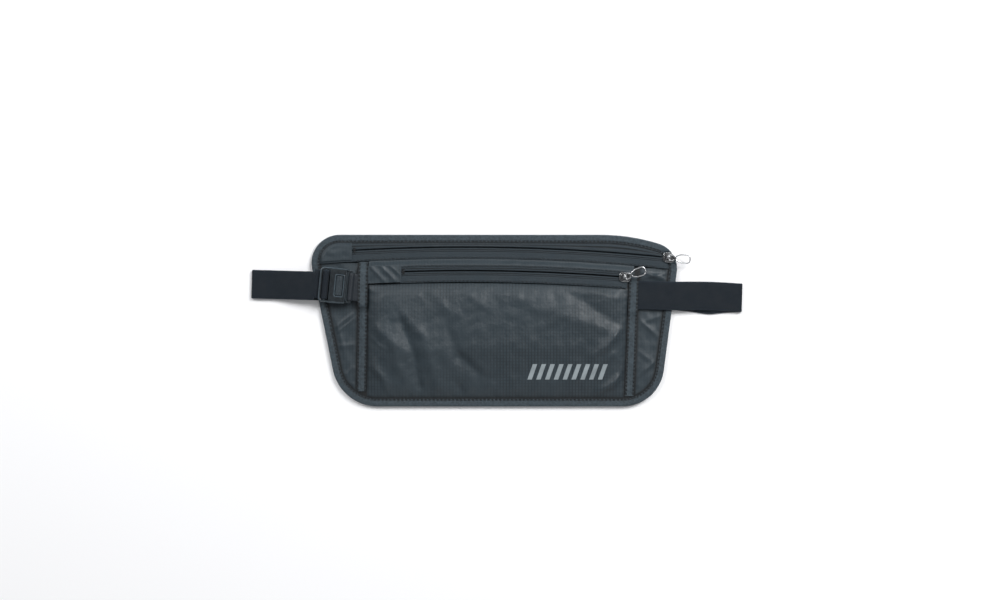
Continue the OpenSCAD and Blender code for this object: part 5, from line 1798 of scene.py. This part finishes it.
class BELT_OT_tapes(BeltOperator, Operator):
    """Edge binding and seam tapes"""

    bl_idname = "belt.tapes"
    bl_label = "Binding and Seam Tapes"

    def make(self, form, colours):
        tape = tape_finish(form, colours)
        edge_binding(form, tape)
        seam_tape(form, tape, -1, "seam_cover_left", "seam_tape_left")
        seam_tape(form, tape, 1, "seam_cover_right", "seam_tape_right")


class BELT_OT_zips(BeltOperator, Operator):
    """Zip tapes, coils and sewn stops"""

    bl_idname = "belt.zips"
    bl_label = "Zips"

    def make(self, form, colours):
        tape = zip_tape_finish(colours)
        main_tapes(form, tape)
        front_tapes(form, tape)
        coils(form, coil_finish(colours))


class BELT_OT_stitching(BeltOperator, Operator):
    """Stitches and bar tacks"""

    bl_idname = "belt.stitching"
    bl_label = "Stitching"

    def make(self, form, colours):
        thread = thread_finish(colours)
        stitching(form, thread)
        bar_tacks(form, thread)


class BELT_OT_sliders(BeltOperator, Operator):
    """Sliders, links and wire pullers"""

    bl_idname = "belt.sliders"
    bl_label = "Sliders and Pullers"

    def make(self, form, colours):
        sliders(form, metal_finish(colours))


class BELT_OT_strap(BeltOperator, Operator):
    """Elastic waist strap and anchor webbing"""

    bl_idname = "belt.strap"
    bl_label = "Waist Strap"

    def make(self, form, colours):
        elastic = elastic_finish(form, colours)
        waist_strap(form, elastic)
        strap_lift(form, elastic)
        adjuster_loop(form, elastic)
        anchor_webbing(form, webbing_finish(colours))


class BELT_OT_buckle(BeltOperator, Operator):
    """Buckle frame, tongue and release lug"""

    bl_idname = "belt.buckle"
    bl_label = "Buckle"

    def make(self, form, colours):
        plastic = plastic_finish(colours)
        buckle_frame(form, plastic)
        buckle_tongue(form, plastic)
        release_lug(form, plastic)


OPERATORS = (BELT_OT_stage, BELT_OT_panels, BELT_OT_tapes, BELT_OT_zips, BELT_OT_stitching,
             BELT_OT_sliders, BELT_OT_strap, BELT_OT_buckle)


class BELT_PT_panel(Panel):
    """The belt's settings and the buttons that make it"""

    bl_idname = "BELT_PT_panel"
    bl_label = "Money Belt"
    bl_space_type = "VIEW_3D"
    bl_region_type = "UI"
    bl_category = "Money Belt"

    def draw(self, context):
        """Each group of settings in its own box, then the operators."""
        for key, group in GROUPS.items():
            box = self.layout.box()
            box.label(text=group.__doc__)
            for setting in group.__annotations__:
                box.prop(getattr(context.scene, key), setting)
        for operator in OPERATORS:
            self.layout.operator(operator.bl_idname)


CLASSES = (*GROUPS.values(), *OPERATORS, BELT_PT_panel)


def register():
    """Registers the classes and hangs the settings on the scene."""
    for cls in CLASSES:
        bpy.utils.register_class(cls)
    for key, group in GROUPS.items():
        setattr(bpy.types.Scene, key, PointerProperty(type=group))


def unregister():
    """Takes the settings and the classes away again."""
    for key in GROUPS:
        delattr(bpy.types.Scene, key)
    for cls in reversed(CLASSES):
        bpy.utils.unregister_class(cls)


def main():
    """Makes the whole belt and its stage."""
    register()
    bpy.ops.belt.stage()
    bpy.ops.belt.panels()
    bpy.ops.belt.tapes()
    bpy.ops.belt.zips()
    bpy.ops.belt.stitching()
    bpy.ops.belt.sliders()
    bpy.ops.belt.strap()
    bpy.ops.belt.buckle()


if __name__ == "__main__":
    main()
